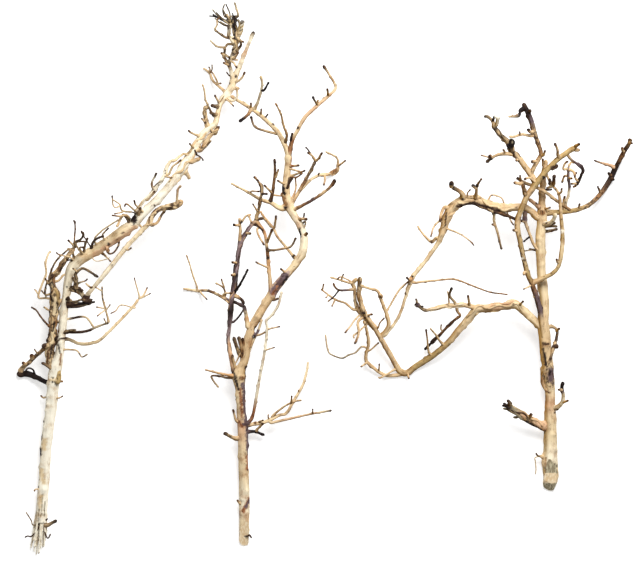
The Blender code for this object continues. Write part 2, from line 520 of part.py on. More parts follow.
SPREADING_LIMBS = {
    "dead_arm": ("trunk", 8, 7, 16, (598, 147), (582, 155), (574, 159.5), (566, 164), (557, 170)),
    "pink_arm": (
        "trunk", 4.8, 4, 22, (613, 168), (619, 174.5), (619.5, 182), (618, 189), (619, 196),
    ),
    "side_loop": (
        "trunk", 3, 3.6, "trunk", (608, 256.5), (613, 252), (612, 243), (609, 233), (605, 221), (603, 213),
    ),
    "fork_loop": (
        "upper_fork", 3.2, 2.8, -30, (503, 274), (506, 268.5), (499, 263), (484, 248), (471, 235),
        (467, 231),
    ),
    "fork_spur": ("upper_fork", 2.8, 2.6, 16, (500, 284), (494.5, 291), (497, 300)),
    "bough_spur": ("long_bough", 2.6, 1.9, 22, (483, 242), (480, 247), (473, 255)),
    "top_twig": ("second_upright", 2.6, 2, 14, (384, 305), (372, 308.5), (363, 311)),
    "dark_twig": ("second_upright", 3, 1.9, 9, (384, 297), (373, 297), (368, 301), (366.5, 305)),
    "long_twig": (
        "second_upright", 2.8, 1.8, -12, (389, 275.5), (380, 282.5), (370, 286), (361, 292), (353, 298),
    ),
    "far_twig": (
        "low_hook", 2, 1.5, -12, (398, 234.5), (391, 228), (384, 225.5), (376, 222), (366.5, 225),
        (361, 230), (358, 248),
    ),
    "long_arc": (
        "left_arm", 2.6, 1.6, 8, (457, 305), (463, 306), (480, 307.5), (500, 308.7), (517, 302.7),
        (538, 295), (558.5, 292),
    ),
    "arm_hook": ("left_arm", 3.6, 1.7, -18, (480, 354), (475, 350), (468, 355.5), (462, 363), (459.5, 368)),
    "arm_stub": ("left_arm", 5.4, 3.8, 18, (508, 403), (497, 410)),
    "arm_fork": ("left_arm", 4.4, 1.8, 30, (523.5, 402), (524.5, 411), (529, 419)),
    "hanging": (
        "left_arm", 3.4, 2.2, -24, (543.5, 379), (543.3, 373), (547, 361), (549.5, 351), (552, 341.5),
    ),
    "bough_twig": ("right_bough", 3.8, 1.8, 16, (671, 434.5), (660, 437.5), (653.5, 440)),
    "cream_limb": (
        "right_bough", 3.6, 3, 26, (622, 392), (625, 401), (626, 411), (624.8, 421), (624.5, 432),
    ),
    "dark_ring": (
        "front_riser", 2.8, 3, -25, (628, 440), (640, 431), (639.5, 424), (636, 416), (634, 412),
    ),
    "tip_arm": ("wavy_limb", 3.6, 2, 14, (571.5, 494), (569.5, 487.5), (558, 487)),
    "tan_reach": ("wavy_limb", 3.4, 2.6, 9, (583, 466), (573, 467.5), (565, 465), (559, 465)),
    "low_left": (
        "charred_limb", 4.2, 3, -7, (563, 446.5), (554, 446.5), (546, 445), (539.5, 441.3), (534, 437),
    ),
    "pink_limb": ("trunk", 5, 4, 20, (603, 370), (608, 374), (611, 381)),
}

SPREADING_TWIGS = {
    "trunk": [
        (3, 1.8, 5, (597, 113.5), (592, 114.5), (589.5, 118)),
        (3.4, 2.6, -9, (601, 361.5), (613.5, 364)),
        (3, 2.4, 10, (602, 368), (611, 371)),
        (4.4, 3.4, 14, (593, 388), (581.5, 397)),
        (2.4, 1.8, 10, (598, 386), (605.5, 387.5)),
        (2.8, 2.2, 7, (597, 434), (596.5, 441.5)),
        (3, 2, -6, (590, 341), (581.5, 342)),
    ],
    "dead_arm": [
        (2.6, 2, -5, (571, 157.5), (564.5, 156.8)),
        (4, 3, 9, (561, 172), (558, 176)),
        (3.4, 3, 8, (583, 157), (584.5, 161)),
    ],
    "pink_arm": [
        (2.6, 2.2, 7, (620, 173.5), (625.5, 175.7)),
        (2.8, 2.4, 9, (617, 187), (614, 187.5)),
    ],
    "side_loop": [
        (2.6, 2.2, 6, (612, 252), (616, 255)),
        (3.2, 2.6, 5, (611, 237), (613.5, 233)),
    ],
    "front_riser": [
        (2, 1.5, 9, (583, 301.5), (575, 297.5)),
        (2.6, 2.2, 7, (576, 316), (576, 313)),
        (2.8, 2.2, 8, (567, 362), (563.5, 363)),
        (4.2, 3.2, -5, (607, 431), (613, 434)),
        (3.6, 2.6, 20, (613, 445), (612, 452), (609, 457.5)),
        (3.4, 3, 9, (632, 454), (637, 457.5)),
        (3.4, 3, -3, (632, 451), (637.5, 450.5)),
        (3, 2.4, 9, (582, 420), (575.5, 418)),
        (5, 4, 9, (577, 403), (574.5, 413)),
    ],
    "ladder": [
        (2, 1.8, 7, (581, 354.5), (575.5, 350)),
        (2.6, 2.2, 6, (575, 372.5), (572, 373)),
    ],
    "long_bough": [
        (2.4, 2, 14, (573, 282), (575.5, 285)),
        (2.4, 1.9, 24, (471.5, 230), (470, 244), (468.5, 254)),
        (2.2, 1.8, 8, (420, 201), (416, 201)),
        (1.9, 1.6, 14, (416, 256), (418, 261), (423, 266.5)),
        (2.4, 2, 9, (449, 203), (450, 199)),
    ],
    "upper_fork": [
        (2.8, 2.4, 14, (516, 282), (514.5, 291.5)),
        (2.2, 2, 10, (458.5, 283), (457.3, 287.5)),
    ],
    "fork_loop": [
        (1.7, 1.5, 6, (485, 254), (485.5, 259.5)),
    ],
    "low_hook": [
        (2, 1.8, 10, (417, 209), (417.3, 216)),
        (2.2, 1.8, 7, (402, 216), (396.5, 212)),
        (1.9, 1.7, 9, (407, 230.5), (417, 239.5)),
        (2.4, 2, 8, (405, 269), (410, 270.5)),
    ],
    "second_upright": [
        (2, 1.8, 14, (391, 265), (386, 258), (379, 249.5)),
        (3, 2.4, 20, (394, 262), (394.5, 249), (390, 237.5)),
        (1.8, 1.6, 12, (384, 307.5), (375, 311.5), (371, 309)),
    ],
    "dark_twig": [
        (2, 1.8, -9, (372, 295.5), (367, 289.5), (360.5, 284)),
    ],
    "long_twig": [
        (2, 1.7, 8, (368, 285), (365, 278.5)),
        (2, 1.7, 7, (355, 298.5), (356, 304)),
        (1.8, 1.6, 7, (361, 291), (358, 288)),
    ],
    "top_twig": [
        (1.8, 1.6, 6, (376, 310), (378, 315)),
    ],
    "right_arm": [
        (2, 2.4, "left_arm", (424, 271), (432, 285), (440, 298), (452, 308.5)),
        (2.6, 2.4, 6, (420, 290), (417, 292.5)),
    ],
    "left_arm": [
        (2.6, 2, 14, (449, 309), (447.5, 311)),
        (2.4, 1.7, 12, (483.5, 372.5), (477, 366), (473.5, 355)),
        (4, 3, 9, (489, 388), (485, 380), (484, 372)),
        (2, 1.5, 12, (494, 363.5), (506, 358.5), (516, 351.5), (521.5, 345.5)),
        (1.8, 1.6, 12, (514, 403), (517.5, 407.5)),
        (1.8, 1.5, "left_arm", (537, 396), (541, 401.5), (551, 398.5), (554.5, 391)),
        (1.7, 1.5, -9, (558, 381.5), (562, 373), (565, 368)),
    ],
    "arm_stub": [
        (4, 3.6, 8, (496, 411.5), (496.5, 416)),
    ],
    "arm_fork": [
        (2.8, 2.4, 6, (522.5, 409), (519, 412.5)),
    ],
    "hanging": [
        (2.2, 1.9, 7, (544, 368), (541, 369.5)),
    ],
    "right_bough": [
        (2.4, 2.2, 10, (637, 388), (637.5, 392)),
        (2.8, 1.9, 12, (660, 406), (657.5, 411.5)),
        (2.8, 2.4, 8, (671, 424), (669.5, 426.5)),
        (2.8, 2.4, 7, (674, 419), (676, 418.5)),
        (3, 2.6, 8, (685, 451), (684.5, 454)),
        (2.6, 2.2, 14, (619.5, 392), (621, 400.5)),
        (2.6, 2.4, 10, (692, 459), (695.5, 458.5)),
    ],
    "right_runner": [
        (2.6, 2.2, 7, (612.8, 328), (612, 331)),
        (2.4, 2, 9, (616.5, 404), (617.5, 409)),
        (3.4, 2.6, 8, (606, 411), (600.5, 408)),
        (2.8, 2.2, -5, (605.5, 412), (603.3, 415.5)),
        (3.8, 3, 12, (608.5, 414), (609, 423)),
    ],
    "diagonal": [
        (2.2, 2, 9, (572, 417.5), (571.5, 423)),
        (3.4, 3, 4, (573, 414), (564.3, 414.8)),
    ],
    "cream_limb": [
        (2.6, 2.2, 8, (619, 430), (621, 436), (624.5, 438.5)),
        (2.4, 2.2, -8, (620.5, 422), (618, 415)),
        (2.4, 2.2, "dark_ring", (628, 437.5), (631, 437)),
        (2.2, 2, 7, (626, 419.8), (629, 419.5)),
        (3, 2.4, 6, (626, 429), (630, 427), (632, 421)),
    ],
    "dark_ring": [
        (2.4, 2, 8, (634, 418), (632, 423), (634.5, 426.5)),
        (2.4, 2, 5, (633, 414), (627.5, 413.5)),
        (2.2, 2, -5, (633, 411.5), (630, 410)),
    ],
    "wavy_limb": [
        (3, 2, 8, (597, 445), (599, 450.5)),
        (3.2, 2.6, 8, (588, 438), (583.7, 438)),
        (3.2, 3, 7, (581, 491), (582.3, 494.5)),
        (3.4, 3, 11, (583, 470), (579.5, 473)),
    ],
    "tan_reach": [
        (1.8, 1.6, 6, (571, 468), (570.8, 471)),
    ],
    "charred_limb": [
        (5, 4.4, 7, (562, 457), (562.3, 462)),
        (3.4, 4.2, 8, (545.3, 478), (546.5, 483), (547.5, 488)),
        (2.8, 2.4, 8, (541.5, 482), (543.5, 488)),
        (2.6, 2.2, 6, (569, 441), (566.8, 438.3)),
    ],
    "low_left": [
        (1.8, 1.6, 7, (537, 442.5), (528, 445)),
        (2.2, 2, 8, (555, 448), (552.5, 451.3)),
        (4, 3, 7, (540, 442), (538, 444.5)),
    ],
}

# Flat cuts at the feet: a point of the cut and the direction of what is taken away.
CURVED_CUTS = [((268.5, 39, 10.6), (0.05, -0.4, 1))]
SPREADING_CUTS = [
    ((606, 110, 16.4), (0.05, -0.3, 1)),
    ((604, 85, 9), (-0.25, -0.85, 1)),
    ((612, 84, 6), (1, -0.5, 0.5)),
]
CUTTER_SIZE = 60
FLOOR_CUTTER_SIZE = 1000
FLOOR_CUTTER_DEPTH = 20
WOOD_ROUGHNESS = 0.8

# A tube as thick as the first number or more has that many sides.
SIDES_BY_THICKNESS = [(8, 8), (4.8, 6), (3.3, 5), (2.3, 4), (0, 3)]

BRANCHES = {
    "long_branch": (LONG_STEMS, LONG_LIMBS, LONG_TWIGS, (0.62, 0.50, 0.35)),
    "curved_branch": (CURVED_STEMS, CURVED_LIMBS, CURVED_TWIGS, (0.50, 0.34, 0.20)),
    "spreading_branch": (SPREADING_STEMS, SPREADING_LIMBS, SPREADING_TWIGS, (0.56, 0.40, 0.24)),
}


def clear_scene():
    for obj in list(bpy.data.objects):
        bpy.data.objects.remove(obj, do_unlink=True)


def station(x, y, height, thickness):
    """A stop along a limb: its place and its radius, as one vector of four."""
    return Vector((x, y, height, thickness / 2))


def nearest_station(route, x, y):
    """The stop on a route that lies nearest to a place on the sheet, seen from above."""
    best, least = route[0], math.inf
    for start, end in zip(route, route[1:]):
        along = (end - start).to_2d()
        share = (Vector((x, y)) - start.to_2d()).dot(along) / max(along.length_squared, 1e-9)
        spot = start.lerp(end, min(max(share, 0), 1))
        distance = (spot.to_2d() - Vector((x, y))).length
        if distance < least:
            best, least = spot, distance
    return best


def limb_route(parent, target, root_thick, tip_thick, rise, points):
    """A limb's stops, from its parent's middle line. It rises evenly, or ends in the target's middle line."""
    root = nearest_station(parent, *points[0])
    places = [root.to_2d()] + [Vector(p) for p in points]
    if (places[1] - places[0]).length < root_thick * FIRST_POINT_SHARE:
        del places[1]
    end_height = root.z
    if target:
        end = nearest_station(target, *places[-1])
        places.append(end.to_2d())
        end_height = end.z
    else:
        end_height += rise
    gone = [0.0]
    for before, after in zip(places, places[1:]):
        gone.append(gone[-1] + (after - before).length)
    route = []
    for place, distance in zip(places, gone):
        share = distance / gone[-1]
        thick = root_thick + (tip_thick - root_thick) * share
        height = root.z + (end_height - root.z) * share
        height = max(height, thick / 2 + LOWEST_TWIG_GAP)
        route.append(station(place.x, place.y, height, thick))
    return route


def thinned(route, slack):
    """The route without the stops that a straight run between others passes within the slack."""
    first, last = route[0], route[-1]
    run = last - first
    offsets = [0.0]
    for stop in route[1:-1]:
        share = min(max((stop - first).dot(run) / run.length_squared, 0), 1)
        offsets.append((stop - first.lerp(last, share)).length)
    worst = max(offsets)
    if worst <= slack:
        return [first, last]
    middle = offsets.index(worst)
    return thinned(route[: middle + 1], slack)[:-1] + thinned(route[middle:], slack)


def routes_of(stems, limbs, twigs):
    """Every route of a branch, thinned, with stems and limbs by name and the twigs last."""
    named = {name: [station(*point) for point in points] for name, points in stems.items()}
    for name, (parent, root_thick, tip_thick, rise, *points) in limbs.items():
        target = named.get(rise)
        named[name] = limb_route(named[parent], target, root_thick, tip_thick, rise, points)
    routes = [thinned(named[name], ROUTE_SLACK) for name in named]
    for parent, rows in twigs.items():
        for root_thick, tip_thick, rise, *points in rows:
            target = named.get(rise)
            route = limb_route(named[parent], target, root_thick, tip_thick, rise, points)
            routes.append(thinned(route, TWIG_SLACK))
    return routes


def foot_fibres():
    """The torn strands that fan out from the long branch's cut foot."""
    foot_x = LONG_STEMS["trunk"][0][0]
    routes = []
    for offset, root_height, tip_x, tip_y, tip_height in FOOT_FIBRES:
        root = station(foot_x + offset, FIBRE_ROOT_Y, root_height, FIBRE_ROOT_THICK)
        tip = station(tip_x, tip_y, tip_height, FIBRE_TIP_THICK)
        bend = root.lerp(tip, 0.5)
        bend.x += offset * FIBRE_BOW
        routes.append([root, bend, tip])
    return routes


def tube(route):
    """A closed mesh that follows a route: one ring, extruded from stop to stop."""
    thickest = max(stop.w for stop in route) * 2
    sides = next(count for least, count in SIDES_BY_THICKNESS if thickest >= least)
    centres = [stop.to_3d() * MM for stop in route]
    headings = []
    for index in range(len(centres)):
        ahead = centres[min(index + 1, len(centres) - 1)]
        behind = centres[max(index - 1, 0)]
        headings.append((ahead - behind).normalized())
    bm = bmesh.new()
    turn = headings[0].to_track_quat("Z", "Y").to_matrix().to_4x4()
    place = Matrix.Translation(centres[0]) @ turn
    bmesh.ops.create_circle(bm, cap_ends=False, segments=sides, radius=route[0].w * MM, matrix=place)
    ring_edges = list(bm.edges)
    for index in range(1, len(route)):
        grown = bmesh.ops.extrude_edge_only(bm, edges=ring_edges)["geom"]
        ring_verts = [part for part in grown if isinstance(part, bmesh.types.BMVert)]
        ring_edges = [part for part in grown if isinstance(part, bmesh.types.BMEdge)]
        turn = headings[index - 1].rotation_difference(headings[index]).to_matrix().to_4x4()
        growth = Matrix.Scale(route[index].w / route[index - 1].w, 4)
        move = Matrix.Translation(centres[index]) @ turn @ growth @ Matrix.Translation(-centres[index - 1])
        bmesh.ops.transform(bm, matrix=move, verts=ring_verts)
    bmesh.ops.holes_fill(bm, edges=list(bm.edges), sides=sides)
    bmesh.ops.recalc_face_normals(bm, faces=list(bm.faces))
    mesh = bpy.data.meshes.new("tube")
    bm.to_mesh(mesh)
    bm.free()
    return mesh


def block(width, depth, matrix):
    """A closed box whose lower face is centred on the matrix's place."""
    bm = bmesh.new()
    bmesh.ops.create_cube(bm, size=1, matrix=Matrix.Translation((0, 0, 0.5)))
    bmesh.ops.transform(bm, matrix=matrix @ Matrix.Diagonal((width, width, depth, 1)), verts=list(bm.verts))
    mesh = bpy.data.meshes.new("block")
    bm.to_mesh(mesh)
    bm.free()
    return mesh


def combine(base, meshes, operation):
    """Joins the meshes to the base, or cuts them from it, by one Boolean on a collection of them."""
    helpers = bpy.data.collections.new("helpers")
    bpy.context.scene.collection.children.link(helpers)
    for mesh in meshes:
        helper = bpy.data.objects.new("helper", mesh)
        helper.hide_render = True
        helpers.objects.link(helper)
    boolean = base.modifiers.new("combine", "BOOLEAN")
    boolean.operation = operation
    boolean.operand_type = "COLLECTION"
    boolean.collection = helpers
    # The exact solver takes minutes on this many crossing tubes.
    boolean.solver = "MANIFOLD"
    graph = bpy.context.evaluated_depsgraph_get()
    result = bpy.data.meshes.new_from_object(base.evaluated_get(graph))
    base.modifiers.remove(boolean)
    base.data = result
    for helper in list(helpers.objects):
        bpy.data.objects.remove(helper, do_unlink=True)
    bpy.data.collections.remove(helpers)


def keep_outer_skin(mesh):
    """Drops loose scraps and the skins of sealed hollows: only the largest connected skin stays."""
    bm = bmesh.new()
    bm.from_mesh(mesh)
    waiting, skins = set(bm.verts), []
    while waiting:
        edge_of_skin = [waiting.pop()]
        skin = set(edge_of_skin)
        while edge_of_skin:
            vert = edge_of_skin.pop()
            for edge in vert.link_edges:
                other = edge.other_vert(vert)
                if other in waiting:
                    waiting.remove(other)
                    skin.add(other)
                    edge_of_skin.append(other)
        skins.append(skin)
    skins.sort(key=len)
    for skin in skins[:-1]:
        bmesh.ops.delete(bm, geom=list(skin), context="VERTS")
    bm.to_mesh(mesh)
    bm.free()


def cut_matrix(point, outward):
    turn = Vector(outward).to_track_quat("Z", "Y").to_matrix().to_4x4()
    return Matrix.Translation(Vector(point) * MM) @ turn


def wood(name, color):
    material = bpy.data.materials.new(name)
    material.use_nodes = True
    shader = material.node_tree.nodes["Principled BSDF"]
    shader.inputs["Base Color"].default_value = (*color, 1)
    shader.inputs["Roughness"].default_value = WOOD_ROUGHNESS
    shader.inputs["Metallic"].default_value = 0
    return material


def build_branch(name, stems, limbs, twigs, color, extra_routes, cuts):
    """One branch: its tubes fused, its foot cut, and flat spots where it rests."""
    first, *rest = [tube(route) for route in routes_of(stems, limbs, twigs) + extra_routes]
    branch = bpy.data.objects.new(name, first)
    bpy.context.scene.collection.objects.link(branch)
    combine(branch, rest, "UNION")
    floor = cut_matrix((SHEET_MIDDLE_X, SHEET_MIDDLE_Y, 0), (0, 0, -1))
    cutters = [block(FLOOR_CUTTER_SIZE * MM, FLOOR_CUTTER_DEPTH * MM, floor)]
    for point, outward in cuts:
        cutters.append(block(CUTTER_SIZE * MM, CUTTER_SIZE * MM, cut_matrix(point, outward)))
    combine(branch, cutters, "DIFFERENCE")
    keep_outer_skin(branch.data)
    branch.data.name = name
    branch.data.materials.clear()
    branch.data.materials.append(wood(name + "_wood", color))
    branch.location = (-SHEET_MIDDLE_X * MM, -SHEET_MIDDLE_Y * MM, 0)
    return branch


def main():
    clear_scene()
    extra = {"long_branch": foot_fibres()}
    cuts = {"curved_branch": CURVED_CUTS, "spreading_branch": SPREADING_CUTS}
    for name, (stems, limbs, twigs, color) in BRANCHES.items():
        build_branch(name, stems, limbs, twigs, color, extra.get(name, []), cuts.get(name, []))


main()
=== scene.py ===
"""The looks of three dried branches that lie loose beside each other on a pale surface.

Each branch is one piece of fine, knotty wood, built limb by limb along given routes. Places are in
millimetres on a sheet laid over the branches, X to the right and Y away. Heights are above the surface. The
sheet's middle lies at the frame's origin."""

import math
import random

import bmesh
import bpy
from mathutils import Matrix, Vector, noise


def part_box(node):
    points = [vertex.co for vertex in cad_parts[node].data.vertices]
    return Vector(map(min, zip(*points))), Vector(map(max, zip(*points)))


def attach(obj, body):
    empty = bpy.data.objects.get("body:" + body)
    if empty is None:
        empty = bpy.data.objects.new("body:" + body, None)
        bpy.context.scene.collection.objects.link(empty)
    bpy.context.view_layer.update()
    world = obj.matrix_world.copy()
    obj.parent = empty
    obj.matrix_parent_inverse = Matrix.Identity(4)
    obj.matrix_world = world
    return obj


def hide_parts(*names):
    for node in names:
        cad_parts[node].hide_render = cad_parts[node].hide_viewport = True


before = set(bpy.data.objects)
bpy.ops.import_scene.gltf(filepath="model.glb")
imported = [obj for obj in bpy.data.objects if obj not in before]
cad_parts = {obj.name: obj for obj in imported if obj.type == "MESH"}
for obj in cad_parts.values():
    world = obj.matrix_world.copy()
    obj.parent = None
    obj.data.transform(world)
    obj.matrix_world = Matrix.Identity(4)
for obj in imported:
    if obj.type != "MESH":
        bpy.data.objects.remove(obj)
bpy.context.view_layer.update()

MM = 0.001
SHEET_MIDDLE = Vector((356.8, 309.4, 0))
# The least gap between a limb and the surface, in millimetres.
LOWEST_TWIG_GAP = 0.5
# A limb is built of rings about this many millimetres apart.
RING_STEP = 1.05

# A limb as thick as the first number, or thicker, has the second number of sides.
SIDES_BY_THICKNESS = [(8, 26), (4.8, 18), (3.3, 14), (2.3, 11), (0, 8)]

# A tone is red, green and blue as the eye sees them, and how much of it dark flakes of bark cover.
TONES = {
    "white": (0.99, 0.96, 0.88, 0.0),
    "cream": (0.97, 0.92, 0.81, 0.08),
    "straw": (0.91, 0.82, 0.66, 0.14),
    "tan": (0.87, 0.75, 0.58, 0.2),
    "peach": (0.87, 0.71, 0.56, 0.2),
    "orange": (0.80, 0.60, 0.40, 0.25),
    "olive": (0.72, 0.61, 0.41, 0.28),
    "bark": (0.78, 0.67, 0.51, 0.58),
    "grey": (0.66, 0.61, 0.50, 0.4),
    "brown": (0.60, 0.44, 0.29, 0.4),
    "rust": (0.64, 0.43, 0.29, 0.35),
    "lilac": (0.63, 0.54, 0.54, 0.3),
    "purple": (0.42, 0.35, 0.36, 0.35),
    "slate": (0.37, 0.37, 0.38, 0.3),
    "dark": (0.31, 0.23, 0.18, 0.4),
    "black": (0.15, 0.12, 0.12, 0.3),
}

# Each row below starts with the limb's tones, from root to tip. They lie evenly along it, or at the share
# of its length after an @.
# STEMS hold the main limbs: the tones, then each point as (x, y, height, thickness).
# LIMBS are named, as others may grow from them. After the tones come the parent, the root's and the tip's
# thickness, the rise and the (x, y) points.
# The rise is how far the tip lies above the root, or the name of the limb that the tip runs into.
# TWIGS grow from the limb that names their list: tones, root and tip thickness, rise, (x, y) points.
# Two rows of tones that many twigs share.
PALE_TWIG = "straw tan@0.75 brown@0.86 dark"
PLAIN_TWIG = "tan tan@0.75 brown@0.86 dark"

LONG_STEMS = {
    "trunk": (
        "white white@0.3 cream@0.42 cream@0.46 straw@0.49 straw@0.57 white@0.61 white@0.75 cream@0.77 "
        "cream@0.8 straw@0.84 cream@0.88 straw@0.9 cream@0.94 peach@0.96 cream@0.975 cream@0.99 dark",
        (45.5, 40, 6.6, 11.5), (45.5, 60, 5.7, 12.2), (48, 90, 6.6, 11.8), (50, 120, 9, 12),
        (53.4, 150, 12, 12), (56.7, 175, 15, 12.8), (59.3, 200, 18, 13.5), (61.5, 213, 20, 13),
        (65, 225, 22, 9.5), (67.5, 245, 24, 9), (69.8, 270, 27, 8.5), (72.2, 290, 30, 8),
        (75.5, 310, 32.5, 9.5), (79, 321, 34, 10.5), (88, 330.5, 36, 12), (100, 337.5, 38, 11.5),
        (115, 347, 40, 12), (135, 361, 43, 13), (147, 370, 44, 11.5), (155, 378, 45, 9),
        (169.5, 393, 46, 8.5), (180, 404, 46, 9), (198.5, 427.5, 44, 9), (209, 444, 42, 8),
        (218, 460, 39, 8), (229, 474, 36, 7), (237, 480, 34, 6), (240.5, 495, 31, 5),
        (242.5, 502, 30, 5.5), (250, 513, 28, 8), (254.5, 520, 28, 8), (257.5, 530, 28, 7),
        (262, 540, 29, 5), (268.5, 555, 32, 4.1), (274.5, 570, 37, 3.7), (279.3, 581, 41, 3.9),
    ),
    "strand": (
        "straw bark@0.15 tan@0.3 bark@0.45 grey@0.5 bark@0.6 tan@0.7 brown@0.8 tan", (60, 205, 19, 9),
        (55, 225, 19, 9), (57, 243, 21, 8), (58, 262, 23, 7), (59.5, 276, 25, 8), (61, 290, 28, 11),
        (58, 302, 30, 6), (57.5, 312, 31, 4.5), (63, 316.5, 33, 4.2), (69, 327, 36, 4),
        (76, 336, 39, 4.2), (82, 343, 42, 4.5),
    ),
    "black_arm": (
        "black black@0.8 dark", (58, 193, 17, 8), (50, 195.5, 11, 5), (40, 200.5, 5.6, 5.4),
        (33, 203.5, 2.9, 6.4), (27, 204.5, 2.7, 6), (22, 204.5, 3.3, 6.3), (18.5, 206.5, 4.5, 5.6),
    ),
    "runner": (
        "tan dark@0.07 straw@0.13 cream@0.3 straw@0.75 tan@0.85 bark@0.92 tan", (73, 299, 31, 6),
        (86, 297, 32, 6), (91, 291.5, 34, 4.5), (95, 288, 36, 4.5), (98, 294, 37, 4.5),
        (104, 301, 38, 4.5), (115, 314, 40, 5), (127, 329, 41, 5), (140, 345, 42, 5), (155, 361.5, 43, 5),
        (163, 369.5, 44, 4.5), (169, 380, 45, 3.4), (177, 386.5, 46, 4), (190, 389, 47, 6.5),
        (196, 391, 48, 6.5), (201, 395.5, 49, 5),
    ),
    "upper_rib": (
        "cream white@0.3 cream@0.5 white@0.8 straw", (149, 374, 45, 6), (151, 384, 49, 4),
        (161, 398, 53, 3.8), (167, 402.5, 55, 4), (173, 411, 57, 4.5), (180, 421, 58, 4.5),
        (184, 432, 59, 3.6), (188.5, 439.5, 60, 2.6),
    ),
    "crown": (
        "straw cream@0.15 brown@0.25 cream@0.35 dark@0.45 straw@0.5 grey@0.62 tan@0.75 slate@0.88 slate",
        (256.5, 526, 28, 5.5), (253.5, 540, 31, 3.6), (251.5, 546, 33, 3.6), (254, 551.5, 36, 4),
        (258.5, 560, 39, 5), (259.7, 572, 42, 5), (258.5, 587, 45, 4.5), (257, 598, 48, 4),
    ),
    "resting_twig": (
        "tan", (249, 512, 28, 3.4), (244.5, 518, 22, 3), (238, 523.5, 13, 2.8), (233, 529, 5, 2.6),
        (231, 535, 1, 2.6), (227, 539, 1.6, 2.2), (223, 541.5, 4, 1.8),
    ),
}
LONG_LIMBS = {
    "grey_arm": (
        "tan bark brown", "black_arm", 4.6, 4, "strand", (21, 206), (24, 211), (31, 217), (42, 227),
        (53, 235),
    ),
    "long_arm": (
        "dark straw@0.2 straw@0.85 tan", "trunk", 3.8, 2.8, -13, (66, 243), (76, 242.5), (86, 238.2),
        (97, 237.8), (109, 241.5), (122, 253.5), (138, 270), (147, 280), (152, 287),
    ),
    "dark_arm": (
        "dark dark@0.6 straw@0.75 dark", "trunk", 3.4, 2.4, 24, (69, 252), (82, 250.5), (96, 252),
        (108, 257), (120, 261),
    ),
    "dark_arm_up": (
        "tan bark", "dark_arm", 2.8, 1.7, 20, (118.5, 268), (114.5, 283), (113, 290), (112.8, 301),
    ),
    "low_hook": (
        "tan straw", "strand", 2.4, 2.2, -16, (50, 288), (43.5, 288), (42, 291), (46, 303), (50.5, 315),
        (49.8, 326), (52.8, 336.6), (56, 340),
    ),
    "s_arm": (
        "dark bark black", "runner", 3.8, 2.6, 26, (84, 308), (83.5, 315), (90, 320.5), (95, 319.5),
        (104, 314), (108.5, 311),
    ),
    "top_spur": ("bark dark", "trunk", 3, 2.4, 18, (93, 338), (93, 342), (95, 350), (97, 354.5)),
    "pale_whip": ("straw", "trunk", 2.4, 1.7, 30, (104, 352), (111, 361), (121, 368), (131, 374)),
    "hole_twig": ("straw tan", "trunk", 2.4, 1.5, 30, (147, 382), (135, 384), (132, 391), (125, 396)),
    "rib_knobs": (
        "cream brown@0.4 cream@0.6 dark", "upper_rib", 3, 2.4, 16, (168, 410), (167.5, 415), (171, 422),
        (172.3, 425.5),
    ),
    "rib_link": ("straw", "upper_rib", 3, 2.2, "trunk", (192, 439), (201, 446), (205, 446)),
    "brown_rope": (
        "tan brown@0.3 straw@0.5 brown@0.75 dark", "trunk", 4.6, 3.4, -5, (221, 451), (229, 463),
        (236, 471), (241.5, 477),
    ),
    "left_rope": (
        "tan bark tan", "trunk", 4.4, 3.6, 6, (228.5, 477), (226, 487), (225, 493), (226, 498),
        (229, 496),
    ),
    "tall_twig": (
        "bark tan", "trunk", 2.8, 2, 26, (234, 490), (227, 504), (225.5, 510), (225, 516), (223, 523),
    ),
    "crown_arch": (
        "bark tan@0.3 straw@0.7 straw", "crown", 3, 1.7, -22, (251, 567.5), (247, 564), (239, 565),
        (235, 568), (231, 572),
    ),
    "crown_bow": ("dark bark", "crown", 2.8, 2.4, 16, (250, 574), (242, 578.5), (236, 583)),
    "crown_side": (
        "straw grey@0.3 slate@0.5 olive@0.7 slate", "crown", 3.4, 3, 8, (262, 575), (265, 582),
        (267.5, 593),
    ),
    "crown_lean": ("bark", "crown", 3, 2.6, 14, (249, 549), (247, 554), (247.5, 563)),
    "loose_strand": (
        "straw cream tan", "trunk", 2.8, 2.6, 10, (256, 505), (261, 510), (261, 514), (260, 521),
    ),
}
